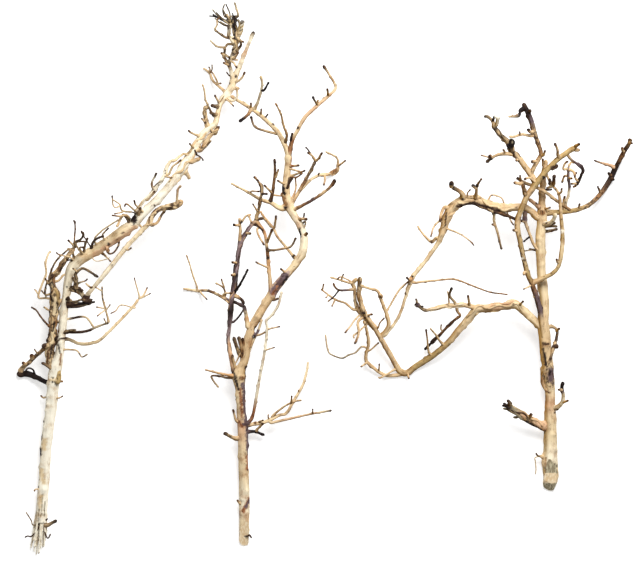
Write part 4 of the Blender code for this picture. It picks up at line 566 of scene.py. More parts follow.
SPREADING_STEMS = {
    "trunk": (
        "straw straw@0.06 cream@0.1 straw@0.16 straw@0.22 peach@0.26 straw@0.3 tan@0.36 tan@0.46 "
        "straw@0.6 straw@0.8 tan@0.86 tan", (604.5, 76, 7.6, 13), (605.5, 84, 7.7, 15.6),
        (606.3, 92, 8, 17), (605.5, 106, 8, 16.6), (605.7, 122, 8.6, 14.4), (605.5, 150, 11.5, 13),
        (605.5, 170, 14, 11.6), (605, 190, 17, 11.6), (603, 210, 20, 13), (600.5, 228, 23, 12.2),
        (598.6, 250, 26, 13), (597.5, 262, 27.5, 12.5), (599.3, 276, 29, 10), (597.5, 300, 31, 10.5),
        (595.6, 318, 33, 9.8), (594.8, 335, 35, 10), (594.2, 352, 37, 11), (595, 368, 38.5, 10),
        (596, 381, 40, 12), (596, 392, 42, 8), (596.6, 408, 46, 7), (597.2, 422, 50, 6.2),
        (599.3, 434, 53, 4.6), (600.3, 440, 55, 3.6),
    ),
    "front_riser": (
        "tan tan@0.08 purple@0.12 purple@0.19 brown@0.24 olive@0.3 bark@0.38 olive@0.46 tan@0.55 "
        "olive@0.62 tan@0.7 olive@0.75 olive", (598, 246, 28, 7), (595, 268, 35, 6),
        (591.5, 284, 39, 5.8), (585.5, 302, 43, 5.4), (580, 316, 46, 5.5), (575, 335, 50, 5.2),
        (571.5, 351, 54, 5.4), (568.5, 367, 57, 6), (570, 377, 59, 6), (574, 388, 61, 6.4),
        (579, 399.5, 63, 7), (585, 408, 65, 7), (591.5, 417, 67, 6.6), (600, 427.5, 68, 6),
        (612, 439.5, 67, 5.5), (626, 450, 64, 5.5), (633, 453.5, 63, 5.2),
    ),
    "long_bough": (
        "tan straw@0.06 straw@0.12 peach@0.2 straw@0.26 tan@0.35 olive@0.45 olive@0.56 tan@0.64 tan@0.9 "
        "bark", (598, 254, 27, 9), (588, 263, 28, 9), (576, 274, 29, 8.6), (566, 281.3, 30, 9),
        (553, 279, 31, 8), (537, 277.3, 31, 8.4), (524, 275.5, 30, 8), (515, 265, 26, 7.6),
        (505, 253, 22, 7.2), (495, 241, 17, 6.6), (482, 229, 12, 6.5), (468, 219, 7, 6.3),
        (457, 212.5, 4, 6.2), (450, 206.8, 2.9, 6.6), (444.5, 205.3, 2.9, 6.8), (439, 208.5, 3.6, 6.2),
        (434, 217, 7, 6), (425, 233, 15, 5.6), (417, 247, 23, 5.1), (409, 260, 30, 5),
        (401, 272, 35, 4.2), (396, 285, 40, 4.3), (395, 300, 45, 4.2), (396, 311, 49, 4.2),
    ),
    "upper_fork": (
        "tan tan tan black", (530, 276, 30, 7), (512, 280, 33, 5), (505, 280.5, 35, 5),
        (490, 279, 38, 4.4), (475, 276, 41, 3.8), (467, 275, 42, 3.4), (460, 280, 43, 4),
        (456, 281, 43.5, 4.4),
    ),
    "second_upright": (
        "tan tan@0.4 bark@0.55 tan@0.8 tan", (412, 254, 26, 4.4), (403, 264, 28, 4), (395, 273, 31, 4),
        (391, 284, 35, 3.8), (390, 297, 40, 3.6), (388.3, 305, 43, 3.6), (393, 309.5, 46, 3.6),
    ),
    "low_hook": (
        "tan", (446, 205.5, 3, 5), (435, 203, 2.4, 3.8), (426, 202.7, 3, 3.8), (418, 206, 4.5, 3.6),
        (409, 213, 7, 3.6), (403, 219, 9, 3.8), (402.7, 226, 12, 3.4), (405.5, 237, 17, 3.4),
        (404, 250, 24, 3.2), (400.5, 264, 30, 3.2),
    ),
    "right_arm": (
        "tan", (418, 244, 20, 5), (427, 257, 26, 4.4), (426, 268, 30, 4.2), (419, 287, 36, 3.6),
        (415, 296, 40, 3.2), (405, 299, 43, 2.8), (396.5, 301.5, 45.5, 2.4),
    ),
    "left_arm": (
        "tan tan@0.2 tan@0.5 straw@0.55 straw", (597, 380, 40, 9), (591, 377.5, 41, 7.6),
        (584, 383.5, 42, 7), (573, 388, 43, 8), (555, 387, 45, 8.2), (544, 387.5, 46, 9),
        (532, 392.5, 47, 8.8), (520, 396.5, 47, 9.4), (508, 394.6, 46, 8.4), (497, 387, 44, 9.5),
        (491.5, 377, 42, 10.5), (488, 365, 40, 8), (484, 353, 38, 6), (480, 345.5, 37, 4.4),
        (466, 326, 36, 3.5), (453, 309.5, 35, 5), (446, 289, 31, 3), (441, 273, 28, 2.8),
        (432, 257, 25, 2.6), (421, 245, 21, 2.6),
    ),
    "right_bough": (
        "tan olive@0.1 olive@0.25 bark@0.38 brown@0.47 dark@0.58 black@0.7 dark@0.78 brown@0.86 "
        "dark@0.92 bark", (597, 382, 40, 8), (610, 382, 38, 6), (628, 384, 32, 5.2), (640, 387, 24, 5.2),
        (652, 393.5, 15, 5.4), (662, 404, 7, 5.4), (668, 412.5, 3, 5.7), (672.5, 420, 2.5, 6),
        (676, 428, 3.4, 5.8), (680, 436, 8, 5), (685.5, 447, 14, 4.9), (691, 456, 20, 4.4),
        (694, 463, 25, 3.4),
    ),
    "right_runner": (
        "tan olive@0.2 straw@0.42 olive@0.46 tan@0.7 tan", (584, 303.5, 43, 5.6), (596, 309.5, 45, 5),
        (607, 315, 46, 4.5), (614, 323, 46, 4.5), (617, 336, 46, 5), (618.5, 350, 47, 4.6),
        (618, 366, 49, 4.2), (616.3, 384, 52, 4), (615.6, 396, 55, 3.2), (613, 405, 58, 2.8),
        (607.5, 411.5, 61, 2.6), (603, 419, 64, 2.4), (599.5, 426, 67, 2.8),
    ),
    "diagonal": (
        "dark tan tan brown", (568, 420, 66, 3.4), (577, 414.5, 63, 3.6), (587, 411, 61, 3.8),
        (600, 404, 56, 3.8), (609, 397.5, 51, 3.6), (616, 392.5, 44, 3.4), (627.5, 384.5, 33, 3.2),
    ),
    "wavy_limb": (
        "bark tan@0.25 brown@0.42 bark@0.55 bark@0.65 purple@0.76 black@0.92 dark", (589, 413, 65, 6.4),
        (584, 423, 66, 5), (586.5, 431, 68, 5), (591, 439, 70, 5), (594.5, 446, 72, 4.6),
        (591.5, 457, 76, 5), (587.5, 468, 79, 5.5), (584.5, 479, 82, 6), (580, 491, 86, 6),
        (576.5, 497.5, 89, 5.6), (574.7, 502, 91, 3),
    ),
    "charred_limb": (
        "tan tan@0.35 black@0.5 tan@0.58 black@0.66 tan@0.72 black@0.78 tan@0.86 black",
        (588, 416, 65, 6.4), (583, 424, 66, 6.5), (573, 438, 70, 6.4), (564, 448, 74, 5.8),
        (560, 456, 77, 7.5), (556, 460.8, 79, 5), (550, 467, 82, 4.5), (544, 474.5, 85, 4.6),
        (540.5, 483, 88, 3.6), (535, 487.3, 90, 3), (531.5, 486.5, 91, 2.8),
    ),
    "ladder": (
        "tan tan purple", (593, 340, 37, 5), (587, 347, 40, 3.4), (582.5, 358, 43, 3.2),
        (579, 367, 45, 3.4), (577, 375, 46, 5), (577.5, 384, 44, 4),
    ),
    "knot_strand": (
        "tan tan@0.2 dark@0.35 tan@0.45 tan@0.6 brown@0.75 tan", (612.3, 243, 23, 3), (609, 233, 25, 3.2),
        (605, 221, 26.6, 3.4), (600.5, 212, 26, 3.6), (597, 203, 21.5, 4), (596.8, 196, 20, 4.2),
        (599.5, 189, 20, 3.6), (603, 185, 20, 3),
    ),
    "under_strand": (
        "black brown black", (568, 374, 57, 4), (560, 378, 54, 2.8), (552, 380.5, 50, 2.8),
        (545, 382.5, 47, 3.2), (540, 384.5, 45, 3.5), (533, 388, 44, 3.8), (519, 392.5, 44, 4),
        (505, 390.5, 43.5, 3.6),
    ),
}
SPREADING_LIMBS = {
    "dead_arm": (
        "peach peach@0.3 bark@0.5 peach@0.6 grey@0.8 black", "trunk", 8, 7, 16, (598, 147), (582, 155),
        (574, 159.5), (566, 164), (557, 170),
    ),
    "pink_arm": (
        "cream straw@0.3 cream@0.5 straw@0.62 purple@0.74 black@0.85 black", "trunk", 4.8, 4, 22,
        (613, 168), (619, 174.5), (619.5, 182), (618, 189), (619, 196),
    ),
    "side_loop": (
        "tan dark@0.45 tan@0.6 tan", "trunk", 3, 3.6, "trunk", (608, 256.5), (613, 252), (612, 243),
        (609, 233), (605, 221), (603, 213),
    ),
    "fork_loop": (
        "tan brown@0.22 dark@0.4 brown@0.55 dark@0.7 black@0.85 black", "upper_fork", 3.2, 2.8, -30,
        (503, 274), (506, 268.5), (499, 263), (484, 248), (471, 235), (467, 231),
    ),
    "fork_spur": ("tan black", "upper_fork", 2.8, 2.6, 16, (500, 284), (494.5, 291), (497, 300)),
    "bough_spur": ("tan", "long_bough", 2.6, 1.9, 22, (483, 242), (480, 247), (473, 255)),
    "top_twig": ("tan", "second_upright", 2.6, 2, 14, (384, 305), (372, 308.5), (363, 311)),
    "dark_twig": (
        "tan purple@0.35 dark@0.6 brown", "second_upright", 3, 1.9, 9, (384, 297), (373, 297), (368, 301),
        (366.5, 305),
    ),
    "long_twig": (
        "tan", "second_upright", 2.8, 1.8, -12, (389, 275.5), (380, 282.5), (370, 286), (361, 292),
        (353, 298),
    ),
    "far_twig": (
        "tan grey tan", "low_hook", 2, 1.5, -12, (398, 234.5), (391, 228), (384, 225.5), (376, 222),
        (366.5, 225), (361, 230), (358, 248),
    ),
    "long_arc": (
        "tan brown", "left_arm", 2.6, 1.6, 8, (457, 305), (463, 306), (480, 307.5), (500, 308.7),
        (517, 302.7), (538, 295), (558.5, 292),
    ),
    "arm_hook": (
        "tan", "left_arm", 3.6, 1.7, -18, (480, 354), (475, 350), (468, 355.5), (462, 363), (459.5, 368),
    ),
    "arm_stub": ("tan tan black", "left_arm", 5.4, 3.8, 18, (508, 403), (497, 410)),
    "arm_fork": ("tan tan brown", "left_arm", 4.4, 1.8, 30, (523.5, 402), (524.5, 411), (529, 419)),
    "hanging": (
        "dark straw@0.1 straw@0.4 tan@0.6 dark", "left_arm", 3.4, 2.2, -24, (543.5, 379), (543.3, 373),
        (547, 361), (549.5, 351), (552, 341.5),
    ),
    "bough_twig": (
        "peach peach dark", "right_bough", 3.8, 1.8, 16, (671, 434.5), (660, 437.5), (653.5, 440),
    ),
    "cream_limb": (
        "straw cream@0.45 purple@0.56 purple@0.7 lilac", "right_bough", 3.6, 3, 26, (622, 392),
        (625, 401), (626, 411), (624.8, 421), (624.5, 432),
    ),
    "dark_ring": (
        "tan purple black dark", "front_riser", 2.8, 3, -25, (628, 440), (640, 431), (639.5, 424),
        (636, 416), (634, 412),
    ),
    "tip_arm": ("black black tan", "wavy_limb", 3.6, 2, 14, (571.5, 494), (569.5, 487.5), (558, 487)),
    "tan_reach": ("tan", "wavy_limb", 3.4, 2.6, 9, (583, 466), (573, 467.5), (565, 465), (559, 465)),
    "low_left": (
        "tan tan dark", "charred_limb", 4.2, 3, -7, (563, 446.5), (554, 446.5), (546, 445),
        (539.5, 441.3), (534, 437),
    ),
    "pink_limb": ("cream", "trunk", 5, 4, 20, (603, 370), (608, 374), (611, 381)),
}
SPREADING_TWIGS = {
    "trunk": [
        ("tan dark", 3, 1.8, 5, (597, 113.5), (592, 114.5), (589.5, 118)),
        ("bark dark", 3.4, 2.6, -9, (601, 361.5), (613.5, 364)),
        ("bark", 3, 2.4, 10, (602, 368), (611, 371)), ("peach", 4.4, 3.4, 14, (593, 388), (581.5, 397)),
        (PLAIN_TWIG, 2.4, 1.8, 10, (598, 386), (605.5, 387.5)),
        (PLAIN_TWIG, 2.8, 2.2, 7, (597, 434), (596.5, 441.5)),
        ("bark dark", 3, 2, -6, (590, 341), (581.5, 342)),
        ("tan", 4.6, 4, "trunk", (599, 213), (597.3, 207), (596.8, 201), (598.5, 195), (601, 189)),
        ("straw", 1.5, 1.2, -7, (590, 113), (589.5, 107), (590, 100), (589.5, 94)),
        ("bark", 3, 2.4, 6, (600, 367), (613, 367)), ("dark", 2, 1.8, 5, (604, 407), (607, 408)),
    ],
    "dead_arm": [
        (PLAIN_TWIG, 2.6, 2, -5, (571, 157.5), (564.5, 156.8)),
        ("bark dark", 4, 3, 9, (561, 172), (558, 176)),
        ("dark black", 3, 2.2, 1, (560, 168), (553.5, 172.8)),
        ("black grey", 2.6, 1.8, 3, (562, 165), (553, 166.8)),
        ("tan grey", 2.8, 2, 5, (566, 166), (559.5, 174)),
        ("black", 2.4, 1.8, -3, (560, 168), (552.5, 169.8)),
        (PLAIN_TWIG, 3.4, 3, 8, (583, 157), (584.5, 161)),
    ],
    "pink_arm": [
        (PLAIN_TWIG, 2.6, 2.2, 7, (620, 173.5), (625.5, 175.7)),
        (PLAIN_TWIG, 2.8, 2.4, 9, (617, 187), (614, 187.5)),
    ],
    "side_loop": [
        (PLAIN_TWIG, 2.6, 2.2, 6, (612, 252), (616, 255)),
        (PLAIN_TWIG, 3.2, 2.6, 5, (611, 237), (613.5, 233)),
    ],
    "front_riser": [
        (PLAIN_TWIG, 2, 1.5, 9, (583, 301.5), (575, 297.5)),
        (PLAIN_TWIG, 2.6, 2.2, 7, (576, 316), (576, 313)),
        (PLAIN_TWIG, 2.8, 2.2, 8, (567, 362), (563.5, 363)),
        ("olive brown", 4.2, 3.2, -5, (607, 431), (613, 434)),
        (PLAIN_TWIG, 3.6, 2.6, 20, (613, 445), (612, 452), (609, 457.5)),
        (PLAIN_TWIG, 3.4, 3, 9, (632, 454), (637, 457.5)),
        (PLAIN_TWIG, 3.4, 3, -3, (632, 451), (637.5, 450.5)),
        (PLAIN_TWIG, 3, 2.4, 9, (582, 420), (575.5, 418)),
        ("bark brown", 4.4, 3.4, 9, (577, 403), (574.5, 413)),
        ("bark", 1.4, 1.2, -4, (577, 340), (590, 341.5)),
    ],
    "ladder": [
        ("black", 2, 1.8, 7, (581, 354.5), (575.5, 350)),
        (PLAIN_TWIG, 2.6, 2.2, 6, (575, 372.5), (572, 373)),
    ],
    "long_bough": [
        (PLAIN_TWIG, 2.4, 2, 14, (573, 282), (575.5, 285)),
        (PLAIN_TWIG, 2.4, 1.9, 24, (471.5, 230), (470, 244), (468.5, 254)),
        ("tan", 2.2, 1.8, 8, (420, 201), (416, 201)),
        (PLAIN_TWIG, 1.9, 1.6, 14, (416, 256), (418, 261), (423, 266.5)),
        (PLAIN_TWIG, 2.4, 2, 9, (449, 203), (450, 199)),
    ],
    "upper_fork": [
        (PLAIN_TWIG, 2.8, 2.4, 14, (516, 282), (514.5, 291.5)),
        (PLAIN_TWIG, 2.2, 2, 10, (458.5, 283), (457.3, 287.5)),
        ("dark", 1.6, 1.4, 4, (463, 279), (466, 279)), ("tan", 1.8, 1.6, 5, (493, 292), (492, 296)),
    ],
    "fork_loop": [(PLAIN_TWIG, 1.7, 1.5, 6, (485, 254), (485.5, 259.5))],
    "low_hook": [
        (PLAIN_TWIG, 2, 1.8, 10, (417, 209), (417.3, 216)),
        (PLAIN_TWIG, 2.2, 1.8, 7, (402, 216), (396.5, 212)),
        (PLAIN_TWIG, 1.9, 1.7, 9, (407, 230.5), (417, 239.5)),
        (PLAIN_TWIG, 2.4, 2, 8, (405, 269), (410, 270.5)),
    ],
    "second_upright": [
        (PLAIN_TWIG, 2, 1.8, 14, (391, 265), (386, 258), (379, 249.5)),
        (PLAIN_TWIG, 3, 2.4, 20, (394, 262), (394.5, 249), (390, 237.5)),
        (PLAIN_TWIG, 1.8, 1.6, 12, (384, 307.5), (375, 311.5), (371, 309)),
        ("tan", 2, 1.8, 6, (392, 249), (389, 247), (389.5, 243.5)),
    ],
    "dark_twig": [
        ("dark black@0.4 purple@0.7 tan", 2, 1.8, -9, (372, 295.5), (367, 289.5), (360.5, 284)),
    ],
    "long_twig": [
        (PLAIN_TWIG, 2, 1.7, 8, (368, 285), (365, 278.5)),
        (PLAIN_TWIG, 2, 1.7, 7, (355, 298.5), (356, 304)),
        (PLAIN_TWIG, 1.8, 1.6, 7, (361, 291), (358, 288)),
    ],
    "top_twig": [(PLAIN_TWIG, 1.8, 1.6, 6, (376, 310), (378, 315))],
    "right_arm": [
        (PLAIN_TWIG, 2, 2.4, "left_arm", (424, 271), (432, 285), (440, 298), (452, 308.5)),
        (PLAIN_TWIG, 2.6, 2.4, 6, (420, 290), (417, 292.5)),
    ],
    "left_arm": [
        (PLAIN_TWIG, 2.6, 2, 14, (449, 309), (447.5, 311)),
        (PLAIN_TWIG, 2.4, 1.7, 12, (483.5, 372.5), (477, 366), (473.5, 355)),
        (PLAIN_TWIG, 4, 3, 9, (489, 388), (485, 380), (484, 372)),
        (PLAIN_TWIG, 2, 1.5, 12, (494, 363.5), (506, 358.5), (516, 351.5), (521.5, 345.5)),
        (PLAIN_TWIG, 1.8, 1.6, 12, (514, 403), (517.5, 407.5)),
        (PLAIN_TWIG, 1.8, 1.5, "left_arm", (537, 396), (541, 401.5), (551, 398.5), (554.5, 391)),
        (PLAIN_TWIG, 1.7, 1.5, -9, (558, 381.5), (562, 373), (565, 368)),
    ],
    "arm_stub": [(PLAIN_TWIG, 4, 3.6, 8, (496, 411.5), (496.5, 416))],
    "arm_fork": [(PLAIN_TWIG, 2.8, 2.4, 6, (522.5, 409), (519, 412.5))],
    "hanging": [(PLAIN_TWIG, 2.2, 1.9, 7, (544, 368), (541, 369.5))],
    "right_bough": [
        (PLAIN_TWIG, 2.4, 2.2, 10, (637, 388), (637.5, 392)),
        ("tan brown dark", 2.8, 1.9, 12, (660, 406), (657.5, 411.5)),
        ("brown black", 2.8, 2.4, 8, (671, 424), (669.5, 426.5)),
        ("brown black", 2.8, 2.4, 7, (674, 419), (676, 418.5)),
        (PLAIN_TWIG, 3, 2.6, 8, (685, 451), (684.5, 454)),
        (PLAIN_TWIG, 2.6, 2.2, 14, (619.5, 392), (621, 400.5)),
        (PLAIN_TWIG, 2.6, 2.4, 10, (692, 459), (695.5, 458.5)),
    ],
    "right_runner": [
        (PLAIN_TWIG, 2.6, 2.2, 7, (612.8, 328), (612, 331)),
        (PLAIN_TWIG, 2.4, 2, 9, (616.5, 404), (617.5, 409)),
        ("olive dark", 3.4, 2.6, 8, (606, 411), (600.5, 408)),
        ("bark", 2.8, 2.2, -5, (605.5, 412), (603.3, 415.5)),
        ("olive brown@0.6 dark", 3.8, 3, 12, (608.5, 414), (609, 423)),
    ],
    "diagonal": [
        (PLAIN_TWIG, 2.2, 2, 9, (572, 417.5), (571.5, 423)),
        (PLAIN_TWIG, 3.4, 3, 4, (573, 414), (564.3, 414.8)),
    ],
    "cream_limb": [
        (PLAIN_TWIG, 2.6, 2.2, 8, (619, 430), (621, 436), (624.5, 438.5)),
        (PLAIN_TWIG, 2.4, 2.2, -8, (620.5, 422), (618, 415)),
        (PLAIN_TWIG, 2.4, 2.2, "dark_ring", (628, 437.5), (631, 437)),
        (PLAIN_TWIG, 2.2, 2, 7, (626, 419.8), (629, 419.5)),
        (PLAIN_TWIG, 3, 2.4, 6, (626, 429), (630, 427), (632, 421)),
    ],
    "dark_ring": [
        (PLAIN_TWIG, 2.4, 2, 8, (634, 418), (632, 423), (634.5, 426.5)),
        (PLAIN_TWIG, 2.4, 2, 5, (633, 414), (627.5, 413.5)),
        (PLAIN_TWIG, 2.2, 2, -5, (633, 411.5), (630, 410)),
    ],
    "wavy_limb": [
        (PLAIN_TWIG, 3, 2, 8, (597, 445), (599, 450.5)),
        (PLAIN_TWIG, 3.2, 2.6, 8, (588, 438), (583.7, 438)),
        ("dark", 3.2, 3, 7, (581, 491), (582.3, 494.5)),
        (PLAIN_TWIG, 3.4, 3, 11, (583, 470), (579.5, 473)),
        ("brown", 1.4, 1.2, 4, (565, 488), (562, 489.5)),
    ],
    "tan_reach": [(PLAIN_TWIG, 1.8, 1.6, 6, (571, 468), (570.8, 471))],
    "charred_limb": [
        ("black", 5, 4.4, 7, (562, 457), (562.3, 462)),
        ("bark white", 3.4, 4.2, 8, (545.3, 478), (546.5, 483), (547.5, 488)),
        ("black", 2.8, 2.4, 8, (541.5, 482), (543.5, 488)),
        (PLAIN_TWIG, 2.6, 2.2, 6, (569, 441), (566.8, 438.3)),
    ],
    "low_left": [
        (PLAIN_TWIG, 1.8, 1.6, 7, (537, 442.5), (528, 445)),
        (PLAIN_TWIG, 2.2, 2, 8, (555, 448), (552.5, 451.3)),
        (PLAIN_TWIG, 4, 3, 7, (540, 442), (538, 444.5)),
    ],
}

# The torn fibres at the long branch's foot. Each row has the root's place across the foot and its height,
# then the tip's x, y and height.
FOOT_FIBRES = [
    (-4, 6, 33.5, 12.5, 3), (-3, 9.2, 37, 8.5, 7), (-1.6, 3.4, 39.5, 5.5, 2), (-0.4, 10, 42, 6.5, 9),
    (1, 6.4, 44, 12, 5.5), (2.2, 3, 46.5, 13, 2.2), (3, 9, 48, 14, 7.5), (3.8, 5.8, 50, 25, 5),
    (-4.4, 4.6, 35, 18, 2.6), (-2.2, 6.2, 38.5, 14, 4.6), (0.2, 4.4, 40.5, 17, 3.6),
    (1.8, 10.4, 45, 20, 9.4), (-1, 8.4, 36.5, 21, 8.2), (3.2, 3.4, 49, 20, 2.4),
]
FIBRE_ROOT_Y = 50
# The roots lie unevenly, this far to either side of that, and their places turn so fast across the foot.
FIBRE_ROOT_SWAY = 6
FIBRE_ROOT_TURN = 4
FIBRE_ROOT_THICK = 3.2
FIBRE_TIP_THICK = 1.3
FIBRE_BOW = 0.2
FIBRE_TONES = "cream white white"

# MARKS are knots, holes, stains and some bands of painted shade: tone, reach, swell outwards, and the (x, y)
# points that they follow.
LONG_MARKS = [
    ("straw", 4, 0.4, (58, 198)), ("black", 1.5, -0.9, (58, 200.4)), ("black", 1.5, -0.9, (58, 195.6)),
    ("tan", 1.6, 0.2, (55, 198)), ("dark", 1.6, 0, (42, 88)), ("dark", 1.3, 0, (42, 80)),
    ("black", 1.5, 0.2, (44.8, 122), (44.4, 115)), ("dark", 1.3, 0, (45.6, 137), (45.3, 132)),
    ("black", 1.3, 0.2, (47.6, 152)), ("straw", 3, 0, (48, 122), (49, 132)),
    ("grey", 1, -0.4, (44.6, 48), (45.8, 60), (46.6, 72)), ("grey", 0.9, -0.4, (48, 48), (48.8, 64)),
    ("grey", 0.9, -0.4, (41.6, 48), (42.8, 58)), ("straw", 3.4, 0, (45, 98), (47, 86)),
    ("straw", 2.4, 0, (43, 58), (44, 70)),
    # Painted shade: the peach, tan and brown bands on this line and the next two run along the trunk's lower
    # right edge, where it lies in shade.
    ("peach", 4, 0, (104, 336), (120, 345), (136, 355), (149, 365)),
    ("tan", 2.4, 0, (112, 336), (126, 345), (143, 356)),
    ("brown", 1.6, 0.2, (113, 336), (124, 345), (134, 351)), ("dark", 0.8, -0.2, (129, 352)),
    ("dark", 0.7, -0.2, (134, 359), (136, 360.5)), ("dark", 0.7, 0, (118, 354)),
    ("dark", 1.8, 0.3, (60, 236), (66, 243), (72, 244)), ("brown", 2, 0, (64, 250), (62, 262)),
    ("black", 1.2, -0.4, (66, 228), (64, 236)), ("brown", 1.2, -0.3, (66, 215), (67, 226)),
    ("black", 1, -0.5, (52, 262), (55, 275)), ("black", 0.9, -0.4, (57, 285), (54, 297)),
    ("grey", 3.2, 0.6, (54, 296), (56, 303)), ("black", 1, -0.3, (50.5, 300), (57, 305.5), (61, 300)),
    ("black", 1.2, -0.4, (58, 252), (60, 262)), ("dark", 1.2, -0.3, (50, 245), (54, 255)),
    ("straw", 2, 0.5, (50.5, 268), (50.5, 282)), ("straw", 1.8, 0.5, (60, 270), (60.5, 288)),
    ("dark", 3, 1.2, (93, 284), (99, 284)), ("black", 1.4, 0.4, (88, 282), (100, 283)),
    ("bark", 2.2, 0.6, (84, 284)), ("dark", 1.8, 0.5, (80, 281)),
    ("black", 0.9, -0.4, (55, 222), (57, 236)), ("black", 4.4, -0.6, (147, 372), (147, 380)),
    ("dark", 1.9, -0.3, (251.5, 524.5)), ("dark", 2.2, -0.3, (259.5, 531.5)),
    ("dark", 1.5, 0.3, (170, 390)), ("black", 2.6, 0.3, (279, 581)), ("dark", 3, 0.3, (57.5, 313)),
    ("dark", 2.6, 1, (84.5, 372.5)), ("dark", 3, 1, (47, 235), (51, 241)),
    ("bark", 3, 0.4, (77, 298), (84, 298)), ("black", 1, -0.3, (79, 299), (83, 297)),
    ("black", 1.2, -0.4, (74, 300)), ("grey", 2.4, 0.3, (88, 303), (86, 310)),
    ("dark", 3.6, 0.8, (93, 289), (97, 289)), ("dark", 2.6, 0.7, (168, 367)),
    ("dark", 2, 0.4, (190, 391)), ("dark", 1.2, 0, (197, 390)), ("dark", 2, 0.2, (184, 384), (189, 388)),
    ("dark", 1.6, 0, (181, 379)), ("black", 2.2, 0.7, (120, 347)), ("tan", 1.8, 0.7, (97, 343)),
    ("tan", 1.8, 0.7, (106, 347)), ("dark", 1.1, 0, (182, 428)), ("dark", 1.1, 0, (182, 425)),
    ("dark", 1.1, 0, (174.5, 412)), ("dark", 2, 0.4, (226, 481)), ("dark", 1.7, 0.4, (232, 492)),
    ("dark", 1.7, 0.4, (236, 498)), ("dark", 1.3, 0.3, (234, 489)),
    ("black", 1.7, 0.2, (258.5, 573), (258, 598)), ("dark", 1.6, 0.5, (172.3, 425.5)),
    ("dark", 1.4, -0.4, (70, 336)), ("dark", 1, 0, (76, 330)), ("tan", 2.4, 0, (87, 335), (98, 334)),
]
CURVED_MARKS = [
    ("purple", 2.8, 0.2, (273, 116), (272.8, 132), (272.5, 148)),
    ("purple", 4.4, 0.2, (271.5, 152), (270, 172), (268.5, 192)),
    ("black", 2, 0.2, (272.5, 160), (271, 185)), ("rust", 2, 0, (266, 158), (265, 172), (264.5, 188)),
    ("rust", 2.4, 0, (272.5, 114), (272.3, 100)), ("purple", 2.4, 0.1, (267, 149), (273, 149)),
    ("rust", 1.8, 0, (263.5, 152), (266, 146)), ("rust", 2.6, 0.1, (274, 67), (271, 61), (267, 53.5)),
    ("purple", 1.8, 0, (273.5, 65), (270, 58)), ("brown", 3.4, 0.6, (266, 200)),
    ("black", 1.6, -0.2, (257.5, 206), (259.5, 196), (262, 187)),
    ("dark", 2, 0.3, (270.5, 213), (271, 205), (270, 198)), ("black", 1.3, -0.7, (281, 252), (281, 256)),
    ("lilac", 6.2, 0, (301, 296), (314, 313)), ("purple", 4.6, 0.2, (303, 298), (314, 312)),
    ("black", 1.6, 0.2, (311, 305), (316, 312)), ("brown", 1.3, 0, (298, 288.5)),
    ("rust", 1.5, 0, (300, 292), (305, 301)), ("purple", 2.6, 0.2, (284, 252), (279, 246)),
    ("black", 1.6, -0.6, (330, 356), (330, 364)), ("black", 3, 0.2, (314, 388)),
    ("black", 2.2, 0.3, (311.5, 410), (313, 402)), ("brown", 3, 0.2, (312, 398), (314, 391)),
    ("straw", 4, 0.2, (319, 398), (321, 388)), ("rust", 1.8, 0, (321.3, 441), (321.3, 432)),
    ("dark", 1.1, 0, (322, 452), (321.3, 444)), ("dark", 1.6, 0.3, (310.5, 426)),
    ("dark", 1.2, 0, (318, 420), (317, 414)), ("black", 2.3, 0.7, (294.5, 333)),
    ("brown", 2.1, 0.7, (281, 151)), ("dark", 2.4, 0.8, (246, 139.5)), ("black", 2.3, 0.9, (323, 334)),
    ("black", 1.5, 0.6, (279.5, 421)), ("dark", 1.4, 0.5, (284, 417)), ("black", 2.1, 0.7, (257, 368.5)),
    ("black", 1.9, 0.7, (266, 372)), ("brown", 2.2, 0.9, (364, 426), (370, 429)),
    ("black", 2.3, 0.9, (369, 418)), ("dark", 1.7, 0.7, (344, 398)), ("black", 2.2, 0.7, (276, 488)),
    ("black", 2.2, 0.8, (344, 508.5)), ("dark", 1.7, 0.7, (328, 475)), ("dark", 2, 0.7, (355.5, 544)),
    ("dark", 1.5, 0.2, (356, 539.5)), ("dark", 2, 0.7, (353, 441)), ("dark", 1.7, 0.6, (352.5, 451)),
    ("dark", 2, 0.7, (300.5, 479.5)), ("brown", 1.5, 0.6, (259, 176)), ("brown", 1.5, 0.6, (270, 175)),
    ("dark", 2, 0.4, (363, 516)),
]
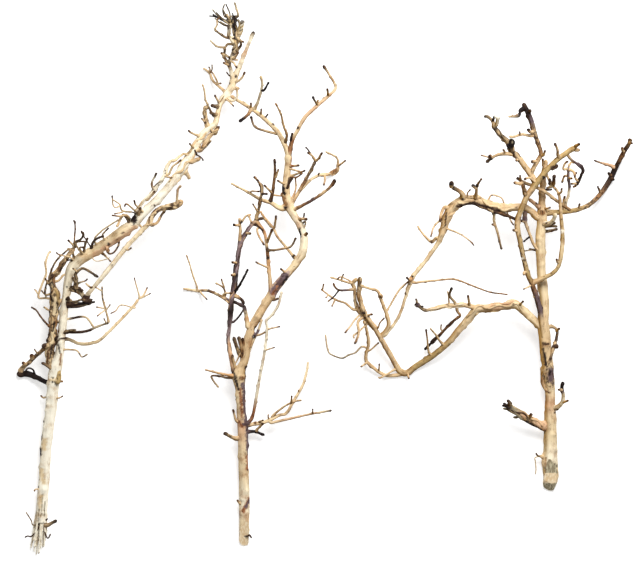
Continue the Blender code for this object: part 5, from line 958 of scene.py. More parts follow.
SPREADING_MARKS = [
    ("grey", 4.6, 0, (602, 100), (610, 104)), ("grey", 4, 0, (600, 79), (611, 80)),
    ("white", 4, 0, (600, 90), (612, 90)), ("bark", 8, 0, (606.5, 196), (606, 209)),
    ("purple", 5, -0.3, (607, 198), (606, 208)), ("black", 1.4, -0.5, (604, 204), (606, 207)),
    # The black band at the start of this line runs along the dead arm's lower side, near its root.
    ("black", 3.2, 0, (597, 140), (588, 145.5), (580, 151)), ("grey", 3, 0, (574, 154), (566, 159)),
    ("brown", 1, -0.5, (600.8, 112), (600, 97)), ("tan", 2.6, 0.8, (597.3, 117), (597.5, 104)),
    ("brown", 1.2, -0.3, (600.5, 186), (604.5, 184)), ("dark", 2, -0.5, (600.5, 214), (599.5, 222)),
    ("black", 1.4, -1, (600.5, 214), (599.5, 222), (597, 231)),
    ("dark", 1.9, -0.7, (597.5, 237.5), (602.5, 237.5)), ("dark", 1.7, 0.5, (613, 165)),
    ("dark", 1.6, 0.5, (610, 162.5)), ("dark", 1.4, 0, (601, 371)), ("dark", 1.3, 0, (603, 365)),
    ("brown", 3.6, 0.2, (596, 382)), ("dark", 2.5, 0.7, (609, 234), (613, 236)),
    ("white", 1.9, -0.3, (574.5, 332)), ("tan", 1.6, 0.6, (586, 289)), ("tan", 1.5, 0.6, (577, 314)),
    ("black", 2.3, 0.2, (597, 421)), ("dark", 2.6, 0.6, (606, 431), (613, 433)),
    ("purple", 3.2, 0.7, (459, 281)), ("black", 1.4, 0.2, (461, 284.5)), ("white", 1, 0, (457, 279.5)),
    ("dark", 1.9, 0.6, (402, 267)), ("dark", 1.9, 0.6, (400, 272)), ("dark", 1.7, 0.5, (405, 268)),
    ("tan", 1.8, 0.4, (418, 292)), ("orange", 3, 0.8, (452, 309)), ("black", 1.3, 0.2, (448.5, 309)),
    ("black", 1.3, 0.2, (454, 312)), ("black", 1.3, 0.2, (450.5, 303.5)), ("dark", 1.9, 0.7, (446, 293)),
    # Painted shade: the long dark band on this line runs along the left arm's lower edge.
    ("dark", 2.3, 0, (503, 389), (520, 392.3), (535, 388.2), (548, 384)), ("black", 1.9, 0.2, (509, 397)),
    ("dark", 1.1, -0.6, (490, 368), (490.5, 382)), ("black", 2.1, 0.3, (494, 413.5), (497, 413.5)),
    ("black", 2.1, 0.6, (519, 412), (524, 412)), ("black", 1.9, 0.7, (541.5, 381)),
    ("dark", 1.5, 0.2, (541, 401)), ("dark", 1.9, 0.7, (475, 350)), ("dark", 1.1, 0, (480, 362.5)),
    ("dark", 1.5, -0.6, (695, 459)), ("white", 2.6, 0.4, (618, 362)), ("black", 2.1, 0.4, (580, 473)),
    ("black", 3.2, 0.2, (557, 454), (562, 457)), ("grey", 1.2, 0.3, (563, 459)),
    ("white", 1.7, 0.2, (560, 463)), ("white", 3, 0.4, (545, 487), (549, 488)),
    ("black", 1.9, 0.6, (551, 460)), ("black", 2.1, 0.6, (540, 441)),
    ("purple", 3.4, 0.5, (574, 375), (578, 375)), ("dark", 2.6, 0.4, (604, 416), (609, 423)),
    ("black", 1.5, 0.2, (605.5, 412)), ("dark", 1.7, 0.6, (618, 415)),
    ("dark", 2, 0.2, (592, 404), (590, 392)),
]

# Strands wound round a limb. Each row has the limb, the tones, the shares of the limb's length where they
# start and end, how many there are, their thickness and their turns.
STRANDS = {
    "long_branch": [
        ("strand", "bark straw bark", 0.03, 0.55, 2, 3.6, 0.8),
        ("strand", "brown dark bark", 0.05, 0.5, 2, 3, 1.2),
        ("strand", "dark bark dark", 0.08, 0.6, 2, 2.2, -2.3),
        ("strand", "tan bark tan", 0.55, 0.98, 2, 2.4, 1.6),
        ("strand", "tan olive tan", 0.3, 0.9, 2, 2.8, -1.1),
        ("strand", "dark brown", 0.35, 0.85, 1, 2.6, 1.4),
        ("runner", "tan straw", 0.7, 0.99, 2, 2.2, 1.6),
        ("runner", "straw brown dark tan dark", 0.7, 0.99, 2, 2, -1.3),
        ("brown_rope", "tan straw", 0.1, 0.95, 2, 2, 0.9),
        ("brown_rope", "brown tan", 0.1, 0.9, 1, 2, 1.3), ("left_rope", "tan bark", 0.1, 0.95, 2, 1.8, 1),
        ("crown", "straw dark straw black tan dark straw slate", 0.2, 0.9, 2, 2.4, 1.5),
        ("crown", "slate grey straw slate", 0.2, 0.98, 2, 1.6, -1.2),
        ("crown_side", "slate straw grey cream slate", 0.1, 0.98, 3, 2.2, 1.5),
        ("crown", "tan olive black", 0.5, 0.98, 2, 2.8, -0.8),
        ("upper_rib", "cream straw cream dark cream straw", 0.05, 0.95, 2, 1.8, 1.2),
        ("trunk", "straw tan", 0.68, 0.8, 3, 2.6, 0.6), ("runner", "dark brown", 0.02, 0.1, 3, 2.2, 0.8),
    ],
    "curved_branch": [
        ("second_bough", "straw tan", 0.4, 0.7, 2, 1.5, 0.9),
        ("left_riser", "dark purple", 0.5, 0.95, 2, 1.8, 0.8),
        ("left_riser", "peach slate lilac black peach slate black lilac peach", 0.12, 0.9, 2, 1.6, 1.6),
        ("spray", "bark dark", 0.3, 0.95, 2, 1.6, 1),
    ],
    "spreading_branch": [
        ("dead_arm", "peach tan grey", 0.12, 0.97, 3, 2.6, 0.3),
        ("dead_arm", "brown dark black", 0.4, 0.99, 2, 2.4, -0.25),
        ("left_arm", "straw tan straw", 0.12, 0.42, 4, 3, 0.35),
        ("under_strand", "dark black", 0.1, 0.95, 2, 1.8, 1),
        ("charred_limb", "dark bark black", 0.3, 0.8, 3, 2, 0.8),
        ("dark_ring", "purple black", 0.3, 0.95, 2, 1.5, 1),
        ("second_upright", "tan straw", 0.3, 0.98, 2, 1.5, 0.6),
        ("left_arm", "tan", 0.36, 0.5, 2, 3, 0.5),
        ("long_bough", "straw tan straw", 0.08, 0.34, 3, 2.6, 0.12),
        ("long_bough", "peach tan", 0.1, 0.3, 2, 2, -0.1),
        ("upper_fork", "straw cream tan cream", 0.2, 0.75, 3, 1.6, 0.5),
        ("fork_loop", "dark brown black", 0.35, 0.85, 2, 1.8, 0.5),
        ("long_bough", "bark tan dark", 0.86, 0.99, 3, 2, 0.7),
    ],
}

# Flat cuts at the feet: a point of the cut and the direction of what is taken away.
CURVED_CUTS = [((268.5, 39, 10.6), (0.05, -0.4, 1))]
SPREADING_CUTS = [
    ((606, 110, 16.4), (0.05, -0.3, 1)), ((604, 85, 9), (-0.25, -0.85, 1)),
    ((612, 84, 6), (1, -0.5, 0.5)),
]

# Inside its parent a limb starts at this share of its thickness, so that its root doesn't show on the far
# side. A first point nearer to the root than the next share of the thickness is left out.
ROOT_LEAST = 0.45
ROOT_CLEARANCE = 0.25
# Just outside its parent a limb is thicker by this share, which dies away over so many of its radii.
ROOT_FLARE = 0.45
ROOT_FLARE_REACH = 1.6
# A snapped tip rounds off over so many tip radii, down to a least share of its thickness.
TIP_ROUNDING = 1.1
TIP_LEAST = 0.3
# It swells by this share, so many of those lengths from its end, and its end is splintered this finely.
TIP_KNOB = 0.2
TIP_KNOB_PLACE = 1.5
TIP_SPLINTERS = 2
# Corners this near each other, in metres, are one.
WELD = 1e-7
# Keeps two stops at one place from dividing by 0.
TINY = 1e-9

# How the wood is roughened: ripples round a limb, millimetres for a ripple along it, share of its radius.
RIB_ROUND, RIB_LENGTH, RIB_SHARE = 1.3, 45, 0.16
LUMP_ROUND, LUMP_LENGTH, LUMP_SHARE = 0.9, 5, 0.16
GRAIN_ROUND, GRAIN_LENGTH, GRAIN_SHARE = 4, 9, 0.09
# Limbs with this radius or more have smaller lumps.
SMOOTH_RADIUS = 3.8
SMOOTH_LUMP_SHARE = 0.07
# Limbs thicker than this, in millimetres, have lumps no bigger than its own.
LUMPY_THICKNESS = 3.6
# No hollow leaves less than this share of the radius.
HOLLOW_LEAST = 0.3
# A limb's own roughness starts from its root's x and its tip's y, by these shares.
SEED_BY_ROOT, SEED_BY_TIP = 0.37, 0.73

# Buds: their spacing in millimetres, the least and most of it before the first and between the others, their
# size by the root of the limb's thickness, their height by their size, and their reach in sizes.
BUD_SPACING = 9
BUD_FIRST = (0.5, 1)
BUD_NEXT = (0.5, 1.5)
BUD_SIZE = (0.5, 0.9)
BUD_HEIGHT = (0.25, 0.6)
BUD_REACH = 2.5
# A bud is dark where its share of the surface passes this, and by how much, except on thick limbs.
BUD_TONE = "dark"
BUD_DARK_FROM = 0.45
BUD_DARKNESS = 1.3
DARK_BUD_THICKNESS = 7.2

# Painted shade: wood is painted darker and browner round its sides, where less light falls: where that
# starts, and how much of red, green, blue and flakes it takes.
PAINTED_SHADE_FROM = 0.68
PAINTED_SIDE_SHADE = (0.55, 0.7, 0.95, 0)
# Wood with few flakes is pale, and takes less of the painted side shade.
LEAST_PAINTED_SHADE = 0.3
PAINTED_SHADE_BY_FLAKES = 3

# Wound strands: their stops' spacing in millimetres, how far they sway and how the next one is shifted, how
# deep and how suddenly they dive in at their ends, and how much and how fast their thickness varies.
STRAND_STEP = 3
STRAND_WANDER = 0.35
STRAND_SHIFT = 2
STRAND_DIVE = 0.5
STRAND_DIVE_BEND = 6
STRAND_UNEVEN = 0.25
STRAND_UNEVEN_PACE = 1.7

# A mark's tone and swell come up at these rates from its edge, which is ragged in large and small steps.
MARK_SHARPNESS = 2.2
MARK_SWELL_RATE = 2
MARK_RAGGED = 0.55
MARK_RAGGED_STEP = 2.2
MARK_FINE_STEPS = 2.7
MARK_FINE_SHARE = 0.6
MARK_MARGIN = 2

# The wood's patterns: how far the grain draws each out, as the share left of its pace along the limb, and
# then its scale to the metre, detail and roughness. Fine grain and cracks are drawn out as the strands are,
# and blotches aren't.
STRANDS_ALONG, STRANDS_NOISE = 0.12, (700, 4, 0.7)
FINE_NOISE = (2400, 3)
CRACK_NOISE = (420, 2)
MOTTLE_ALONG, MOTTLE_NOISE = 0.14, (360, 3, 0.6)
FLECKS_ALONG, FLECKS_NOISE = 0.45, (520, 4, 0.65)
BLOTCH_NOISE = (90, 3)
# Where a pattern turns into a stain, a crack or a flake, and how much of the colour that takes.
STAIN_EDGE = (0.45, 0.72)
CRACK_EDGE = (0.012, 0.0)
CRACKED_BLOTCHES = (0.35, 0.6)
CRACK_COLOUR, CRACK_STRENGTH = (0.27, 0.18, 0.11), 0.6
FLAKE_EDGE = (0.72, 0.79)
FLAKE_BY_TONE = 0.5
FLAKE_COLOUR, FLAKE_STRENGTH = (0.17, 0.11, 0.09), 0.8
# Light and dark grain: its depth on clean wood, what flakes add, each pattern's share, and their middle.
SHADE_DEPTH, SHADE_BY_FLAKES = 0.35, 2.4
SHADE_STRANDS, SHADE_FINE, SHADE_MOTTLE, SHADE_MIDDLE = 0.8, 0.35, 0.75, 0.95
# The grain differs most in blue, as in warm wood.
SHADE_BY_CHANNEL = {"Red": 0.8, "Green": 1, "Blue": 1.2}
# Fine relief: the share of each pattern, then its strength and depth in metres.
RELIEF_STRANDS, RELIEF_FINE, RELIEF_FLAKE, RELIEF_CRACK = 0.5, 0.25, 0.5, 0.8
WOOD_RELIEF = {"Strength": 0.6, "Distance": 0.0005}
WOOD_ROUGHNESS, WOOD_ROUGHNESS_SWING = 0.72, 0.2
WOOD_SHINE = 0.12
# The tones are darkened to this share, as the light is strong.
WOOD_DEPTH = 0.84

# Cut wood: grey end grain scored by the tool, cream facets, patches, and the facets' soft and wavy edge.
SCORES_ALONG, SCORES_NOISE = 0.12, (700, 3)
PATCH_NOISE = (160, 3)
GREY_EDGE, GREY_COLOURS = (0.35, 0.65), ((0.48, 0.43, 0.34), (0.76, 0.72, 0.60))
CREAM_EDGE, CREAM_COLOURS = (0.3, 0.7), ((0.85, 0.73, 0.56), (0.95, 0.88, 0.75))
PATCH_EDGE, PATCH_COLOUR, PATCH_STRENGTH = (0.55, 0.7), (0.50, 0.40, 0.27), 0.4
CUT_RELIEF = {"Strength": 0.5, "Distance": 0.0004}
CUT_ROUGHNESS, CUT_ROUGHNESS_SWING = 0.8, 0.1
PALE_BAND_EDGE = 0.001
PALE_BAND_WAVE = 0.004

# The photograph's frame: its width, and the place in the middle of it, in metres.
PHOTO_WIDTH = 0.704
PHOTO_CENTRE = (-0.0048, -0.0102)
FOCUS_HEIGHT = 0.03
LENS = 800
SENSOR = 36
# The camera sees this many times as far as the branches.
CLIP_DISTANCES = 2

FLOOR_SIZE = 8
FLOOR_DROP = -0.0003
FLOOR_COLOUR = (0.6, 0.6, 0.6, 1)
FLOOR_ROUGHNESS = 0.9
FLOOR_GLOW = 0.6
SKY_COLOUR = (1, 0.99, 0.97, 1)
SKY_STRENGTH = 0.25
LAMP_DISTANCE = 2.2
KEY_DIRECTION = (0.22, 0.75, 1)
KEY_SIZE = 1.3
KEY_STRENGTH = 78

# Each branch's wood: the material, the colour of its stains and how strong they are.
WOODS = {
    "long_branch": ("pale_dead_wood", (0.76, 0.62, 0.42), 0.5),
    "curved_branch": ("tan_barked_wood", (0.66, 0.46, 0.28), 0.6),
    "spreading_branch": ("warm_tan_wood", (0.68, 0.49, 0.29), 0.5),
}
# The cut feet: the material, and where its pale facet starts and ends in Y, in metres.
CUT_WOODS = {
    "curved_branch": ("pale_cut_wood", -0.31, -0.25),
    "spreading_branch": ("whittled_wood", -0.2255, -0.2135),
}

# Each branch's tables, its cuts, and how much more painted side shade it gets towards the right and the far
# side. Less than
# 0 is towards the left and the near side.
BRANCHES = {
    "long_branch": (LONG_STEMS, LONG_LIMBS, LONG_TWIGS, LONG_MARKS, [], (0, 0)),
    "curved_branch": (CURVED_STEMS, CURVED_LIMBS, CURVED_TWIGS, CURVED_MARKS, CURVED_CUTS, (0, -1.1)),
    "spreading_branch": (
        SPREADING_STEMS, SPREADING_LIMBS, SPREADING_TWIGS, SPREADING_MARKS, SPREADING_CUTS, (-1.3, -0.8),
    ),
}


def station(x, y, height, thickness):
    """A stop along a limb: its place and its radius, as one vector of four."""
    return Vector((x, y, height, thickness / 2))


def nearest_station(route, x, y):
    """The stop on a route that lies nearest to a place on the sheet, seen from above."""
    best, least = route[0], math.inf
    for start, end in zip(route, route[1:]):
        along = (end - start).to_2d()
        share = (Vector((x, y)) - start.to_2d()).dot(along) / max(along.length_squared, TINY)
        spot = start.lerp(end, min(max(share, 0), 1))
        distance = (spot.to_2d() - Vector((x, y))).length
        if distance < least:
            best, least = spot, distance
    return best


def limb_route(parent, target, root_thick, tip_thick, rise, points):
    """A limb's stops, from its parent's middle line. It rises evenly, or ends in its target's middle."""
    root = nearest_station(parent, *points[0])
    places = [root.to_2d()] + [Vector(p) for p in points]
    if (places[1] - places[0]).length < root_thick * ROOT_CLEARANCE:
        del places[1]
    end_height = root.z
    if target:
        end = nearest_station(target, *places[-1])
        places.append(end.to_2d())
        end_height = end.z
    else:
        end_height += rise
    gone = [0.0]
    for before, after in zip(places, places[1:]):
        gone.append(gone[-1] + (after - before).length)
    route = []
    for place, distance in zip(places, gone):
        share = distance / gone[-1]
        thick = root_thick + (tip_thick - root_thick) * share
        height = root.z + (end_height - root.z) * share
        height = max(height, thick / 2 + LOWEST_TWIG_GAP)
        route.append(station(place.x, place.y, height, thick))
    return route


def curve_point(before, start, end, after, share):
    """A point on the smooth curve through four stops, between the middle two."""
    bend = (
        2 * start + (end - before) * share + (2 * before - 5 * start + 4 * end - after) * share**2
        + (3 * start - before - 3 * end + after) * share**3
    ) / 2
    bend.w = start.w + (end.w - start.w) * share
    return bend


def smoothed(route, step):
    """The route as a smooth curve with its stops about a step apart, and how far along each one is."""
    ends = [2 * route[0] - route[1], *route, 2 * route[-1] - route[-2]]
    stops = []
    for index in range(len(route) - 1):
        count = max(1, round((route[index + 1] - route[index]).to_3d().length / step))
        for part in range(count):
            stops.append(curve_point(*ends[index : index + 4], part / count))
    stops.append(route[-1].copy())
    gone = [0.0]
    for before, after in zip(stops, stops[1:]):
        gone.append(gone[-1] + (after - before).to_3d().length)
    return stops, gone


def seen(red, green, blue):
    """A colour as the eye sees it, turned into the shader's own linear values."""
    return tuple(((value + 0.055) / 1.055) ** 2.4 for value in (red, green, blue))


def tone_value(name):
    """A tone as linear colour and flake share. Strong light brings back the brightness in the list."""
    *colour, flakes = TONES[name]
    return Vector([value * WOOD_DEPTH for value in seen(*colour)] + [flakes])


def tone_stops(words):
    """A row's tones as (share along the limb, tone) pairs."""
    parts = [word.split("@") for word in words.split()]
    found = []
    for index, part in enumerate(parts):
        even = index / max(len(parts) - 1, 1)
        found.append((float(part[1]) if len(part) > 1 else even, tone_value(part[0])))
    return found


def tone_along(stops, share):
    """The tone at a share of the limb's length, blended between its neighbours."""
    before = stops[0]
    for after in stops:
        if share <= after[0]:
            width = after[0] - before[0]
            return before[1].lerp(after[1], (share - before[0]) / width if width else 1)
        before = after
    return stops[-1][1].copy()


def turned_frames(stops):
    """For each stop a heading and two directions across it that turn no more than the route does."""
    frames = []
    heading = (stops[1] - stops[0]).to_3d().normalized()
    across = heading.orthogonal().normalized()
    for index, stop in enumerate(stops):
        ahead = stops[min(index + 1, len(stops) - 1)]
        behind = stops[max(index - 1, 0)]
        new_heading = (ahead - behind).to_3d().normalized()
        across = heading.rotation_difference(new_heading) @ across
        heading = new_heading
        across = (across - heading * across.dot(heading)).normalized()
        frames.append((heading, across, heading.cross(across)))
    return frames


def distance_to_mark(place, points):
    """How far a place on the sheet lies from the line that a mark follows."""
    if len(points) == 1:
        return (place - points[0]).length
    least = math.inf
    for start, end in zip(points, points[1:]):
        along = end - start
        share = min(max((place - start).dot(along) / along.length_squared, 0), 1)
        least = min(least, (place - start - along * share).length)
    return least


def marks_near(stop, marks):
    """The marks that may show on the ring at a stop."""
    place = stop.to_2d()
    return [mark for mark in marks if distance_to_mark(place, mark[3]) < mark[1] + stop.w + MARK_MARGIN]


def bud_list(length, thickness, draw):
    """Small swellings, unevenly spaced: how far along the limb, the angle round it, size and height."""
    buds = []
    at = draw.uniform(*BUD_FIRST) * BUD_SPACING
    while at < length:
        size = draw.uniform(*BUD_SIZE) * math.sqrt(thickness)
        buds.append((at, draw.uniform(0, math.tau), size, draw.uniform(*BUD_HEIGHT) * size))
        at += draw.uniform(*BUD_NEXT) * BUD_SPACING
    return buds


def swell_of(angle, gone, radius, buds, seed):
    """How far the wood stands out there, in millimetres, and how much of that spot is a bud."""
    around = Vector((math.cos(angle), math.sin(angle), 0))
    ribs = noise.noise(around * RIB_ROUND + Vector((seed, 0, gone / RIB_LENGTH)))
    lumps = noise.noise(around * LUMP_ROUND + Vector((0, seed, gone / LUMP_LENGTH)))
    lumps *= min(LUMPY_THICKNESS / (2 * radius), 1)
    grain = noise.noise(around * GRAIN_ROUND + Vector((seed, seed, gone / GRAIN_LENGTH)))
    lump_share = LUMP_SHARE if radius < SMOOTH_RADIUS else SMOOTH_LUMP_SHARE
    swell = radius * (RIB_SHARE * ribs + lump_share * lumps + GRAIN_SHARE * grain)
    bud_share = 0
    for at, side, size, height in buds:
        if abs(gone - at) < BUD_REACH * size:
            aside = radius * abs((angle - side + math.pi) % math.tau - math.pi)
            near = math.exp(-((gone - at) ** 2 + aside**2) / size**2)
            swell += height * near
            bud_share = max(bud_share, near)
    return swell, bud_share


def tip_share(gone, length, radius):
    """The share of its thickness that a limb keeps near its snapped tip."""
    left = max(length - gone, 0) / (radius * TIP_ROUNDING)
    knob = 1 + TIP_KNOB * math.exp(-((left - TIP_KNOB_PLACE) ** 2))
    return knob * (1 if left >= 1 else TIP_LEAST + (1 - TIP_LEAST) * math.sqrt(1 - (1 - left) ** 2))


def root_share(gone, parent_radius, root_radius):
    """The share of its thickness that a limb has near its root: less inside its parent, then a flare."""
    away = max(gone - parent_radius, 0)
    inside = min(gone / parent_radius, 1)
    flare = 1 + ROOT_FLARE * math.exp(-away / (ROOT_FLARE_REACH * root_radius))
    return ROOT_LEAST + (flare - ROOT_LEAST) * inside


def with_painted_side_shade(tone, outward, side_shade_lean):
    """The tone with painted shade on a limb's sides: darker the more a side faces away from the top, or
    towards its branch's shaded side.
    """
    side = min(max(PAINTED_SHADE_FROM - outward.z + outward.dot(side_shade_lean), 0), 1)
    side *= min(LEAST_PAINTED_SHADE + PAINTED_SHADE_BY_FLAKES * tone[3], 1)
    return Vector([value * (1 - side * share) for value, share in zip(tone, PAINTED_SIDE_SHADE)])


def marked(tone, swell, place, near, seed):
    """The tone and the swell at a place on the sheet, with the marks that reach it."""
    for mark_tone, reach, mark_swell, points in near:
        rough_place = Vector((*place, seed)) / MARK_RAGGED_STEP
        fine = noise.noise(rough_place * MARK_FINE_STEPS)
        ragged = reach * MARK_RAGGED * (noise.noise(rough_place) + MARK_FINE_SHARE * fine)
        depth = 1 - (distance_to_mark(place, points) + ragged) / reach
        if depth > 0:
            tone = tone.lerp(mark_tone, min(depth * MARK_SHARPNESS, 1))
            swell += mark_swell * min(depth * MARK_SWELL_RATE, 1)
    return tone, swell


def add_tube(bm, route, words, marks, side_shade_lean, parent_radius):
    """Adds one limb to the branch: a grid rolled up along its route, with its ends and its seam closed."""
    stops, gone = smoothed(route, RING_STEP)
    frames = turned_frames(stops)
    length = gone[-1]
    last = len(stops) - 1
    thickest = max(stop.w for stop in route) * 2
    sides = next(count for least, count in SIDES_BY_THICKNESS if thickest >= least)
    seed = route[0].x * SEED_BY_ROOT + route[-1].y * SEED_BY_TIP
    buds = bud_list(length, thickest, random.Random(seed))
    tones = tone_stops(words)
    bud_tone = tone_value(BUD_TONE)
    bud_darkness = BUD_DARKNESS if thickest < DARK_BUD_THICKNESS else 0
    tone_layer = bm.verts.layers.float_color["tone"]
    grain_layer = bm.verts.layers.float_vector["grain"]
    rings = []
    for index, stop in enumerate(stops):
        radius = stop.w
        if parent_radius:
            radius *= root_share(gone[index], parent_radius, route[0].w)
        radius *= tip_share(gone[index], length, stops[-1].w)
        tone = tone_along(tones, gone[index] / length)
        rings.append((stop.to_3d(), radius, tone, marks_near(stop, marks)))
    grid = bmesh.ops.create_grid(bm, x_segments=last, y_segments=sides, size=1)["verts"]
    for vert in grid:
        index = round((vert.co.x + 1) / 2 * last)
        angle = round((vert.co.y + 1) / 2 * sides) % sides * math.tau / sides
        centre, radius, tone, near = rings[index]
        heading, across, aside = frames[index]
        outward = across * math.cos(angle) + aside * math.sin(angle)
        swell, bud_share = swell_of(angle, gone[index], radius, buds, seed)
        tone = tone.lerp(bud_tone, max(bud_share - BUD_DARK_FROM, 0) * bud_darkness)
        # Painted shade: the limb's sides are darkened in its tone.
        tone = with_painted_side_shade(tone, outward, side_shade_lean)
        tone, swell = marked(tone, swell, (centre + outward * radius).to_2d(), near, seed)
        spot = centre + outward * max(radius + swell, radius * HOLLOW_LEAST)
        if index == last:
            spot += heading * radius * noise.noise(outward * TIP_SPLINTERS + Vector((seed, 0, 0)))
        vert[tone_layer] = tone
        unrolled = Vector((math.cos(angle) * radius, math.sin(angle) * radius, gone[index] + seed))
        vert[grain_layer] = unrolled * MM
        vert.co = (spot - SHEET_MIDDLE) * MM
    bmesh.ops.remove_doubles(bm, verts=grid, dist=WELD)
    whole = [vert for vert in grid if vert.is_valid]
    rims = {edge for vert in whole for edge in vert.link_edges if edge.is_boundary}
    bmesh.ops.holes_fill(bm, edges=list(rims), sides=sides)


def cut_foot(bm, cuts):
    """Slices the foot flat, as the saw and the knife left it, and gives the flats the cut-wood material."""
    for point, outward in cuts:
        geometry = [*bm.verts, *bm.edges, *bm.faces]
        plane = (Vector(point) - SHEET_MIDDLE) * MM
        sliced = bmesh.ops.bisect_plane(
            bm, geom=geometry, dist=WELD, plane_co=plane, plane_no=Vector(outward), clear_outer=True
        )
        rim = [part for part in sliced["geom_cut"] if isinstance(part, bmesh.types.BMEdge)]
        for face in bmesh.ops.contextual_create(bm, geom=rim)["faces"]:
            face.material_index = 1


def foot_fibres():
    """The torn strands that fan out from the long branch's cut foot."""
    foot_x = LONG_STEMS["trunk"][1][0]
    routes = []
    for offset, root_height, tip_x, tip_y, tip_height in FOOT_FIBRES:
        root_y = FIBRE_ROOT_Y + FIBRE_ROOT_SWAY * math.sin(offset * FIBRE_ROOT_TURN)
        root = station(foot_x + offset, root_y, root_height, FIBRE_ROOT_THICK)
        tip = station(tip_x, tip_y, tip_height, FIBRE_TIP_THICK)
        bend = root.lerp(tip, 0.5)
        bend.x += offset * FIBRE_BOW
        routes.append([root, bend, tip])
    return routes


def wound_strands(route, start, end, count, thickness, turns):
    """Routes of strands that wind round part of a limb, as twisted wood does where its bark has gone."""
    stops, gone = smoothed(route, STRAND_STEP)
    frames = turned_frames(stops)
    first, last = round(start * (len(stops) - 1)), round(end * (len(stops) - 1))
    strands = []
    for strand in range(count):
        places = []
        for index in range(first, last + 1):
            share = (index - first) / (last - first)
            sway = math.sin(index + strand * STRAND_SHIFT) * STRAND_WANDER
            angle = (strand / count + turns * share) * math.tau + sway
            heading, across, aside = frames[index]
            outward = across * math.cos(angle) + aside * math.sin(angle)
            lift = stops[index].w * (1 - STRAND_DIVE * abs(2 * share - 1) ** STRAND_DIVE_BEND)
            place = stops[index].to_3d() + outward * lift
            uneven = 1 + STRAND_UNEVEN * math.sin(index * STRAND_UNEVEN_PACE + strand)
            places.append(station(*place, thickness * uneven))
        strands.append(places)
    return strands


def keep_inside(bm, low, high):
    """Holds the wood on the surface and inside the solid's own box."""
    for vert in bm.verts:
        vert.co = Vector(min(max(value, least), most) for value, least, most in zip(vert.co, low, high))


def limb_rows(stems, limbs, twigs):
    """Each named limb's route, and the limbs and twigs as rows of tones, parent and route."""
    named = {stem: [station(*point) for point in points] for stem, (words, *points) in stems.items()}
    rows = []
    for limb, (words, parent, root_thick, tip_thick, rise, *points) in limbs.items():
        named[limb] = limb_route(named[parent], named.get(rise), root_thick, tip_thick, rise, points)
        rows.append((words, parent, named[limb]))
    for parent, parent_rows in twigs.items():
        for words, root_thick, tip_thick, rise, *points in parent_rows:
            route = limb_route(named[parent], named.get(rise), root_thick, tip_thick, rise, points)
            rows.append((words, parent, route))
    return named, rows


def branch_object(name, bm, materials):
    """The finished branch, with its wood smooth and its cuts flat."""
    mesh = bpy.data.meshes.new(name + "_wood")
    bm.to_mesh(mesh)
    bm.free()
    for face in mesh.polygons:
        face.use_smooth = face.material_index == 0
    for material in materials:
        mesh.materials.append(material)
    branch = bpy.data.objects.new(name + "_wood", mesh)
    bpy.context.scene.collection.objects.link(branch)
    return branch


def build_branch(name, stems, limbs, twigs, marks, cuts, side_shade_lean, materials):
    """One branch as one mesh that stands for its solid."""
    marks = [
        (tone_value(tone), reach, swell, [Vector(point) for point in points])
        for tone, reach, swell, *points in marks
    ]
    side_shade_lean = Vector((*side_shade_lean, 0))
    bm = bmesh.new()
    bm.verts.layers.float_color.new("tone")
    bm.verts.layers.float_vector.new("grain")
    named, rows = limb_rows(stems, limbs, twigs)
    for stem, (words, *points) in stems.items():
        add_tube(bm, named[stem], words, marks, side_shade_lean, 0)
        if stem == "trunk":
            cut_foot(bm, cuts)
    for words, parent, route in rows:
        parent_radius = nearest_station(named[parent], route[0].x, route[0].y).w
        add_tube(bm, route, words, marks, side_shade_lean, parent_radius)
    for limb, words, *winding in STRANDS[name]:
        for route in wound_strands(named[limb], *winding):
            add_tube(bm, route, words, marks, side_shade_lean, 0)
    if name == "long_branch":
        for route in foot_fibres():
            add_tube(bm, route, FIBRE_TONES, marks, side_shade_lean, 0)
    keep_inside(bm, *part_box(name))
    bmesh.ops.recalc_face_normals(bm, faces=list(bm.faces))
    return branch_object(name, bm, materials)


class Value:
    """A socket of a material. Arithmetic on it adds the Math nodes that work it out."""

    def __init__(self, wires, socket):
        self.wires = wires
        self.socket = socket

    def maths(self, operation, first, second):
        """A Math node's result from two values or numbers."""
        return self.wires.node("Math", {"operation": operation}, {0: first, 1: second})

    def __add__(self, other):
        return self.maths("ADD", self, other)

    def __radd__(self, other):
        return self.maths("ADD", other, self)

    def __sub__(self, other):
        return self.maths("SUBTRACT", self, other)

    def __rsub__(self, other):
        return self.maths("SUBTRACT", other, self)

    def __mul__(self, other):
        return self.maths("MULTIPLY", self, other)

    def __rmul__(self, other):
        return self.maths("MULTIPLY", other, self)


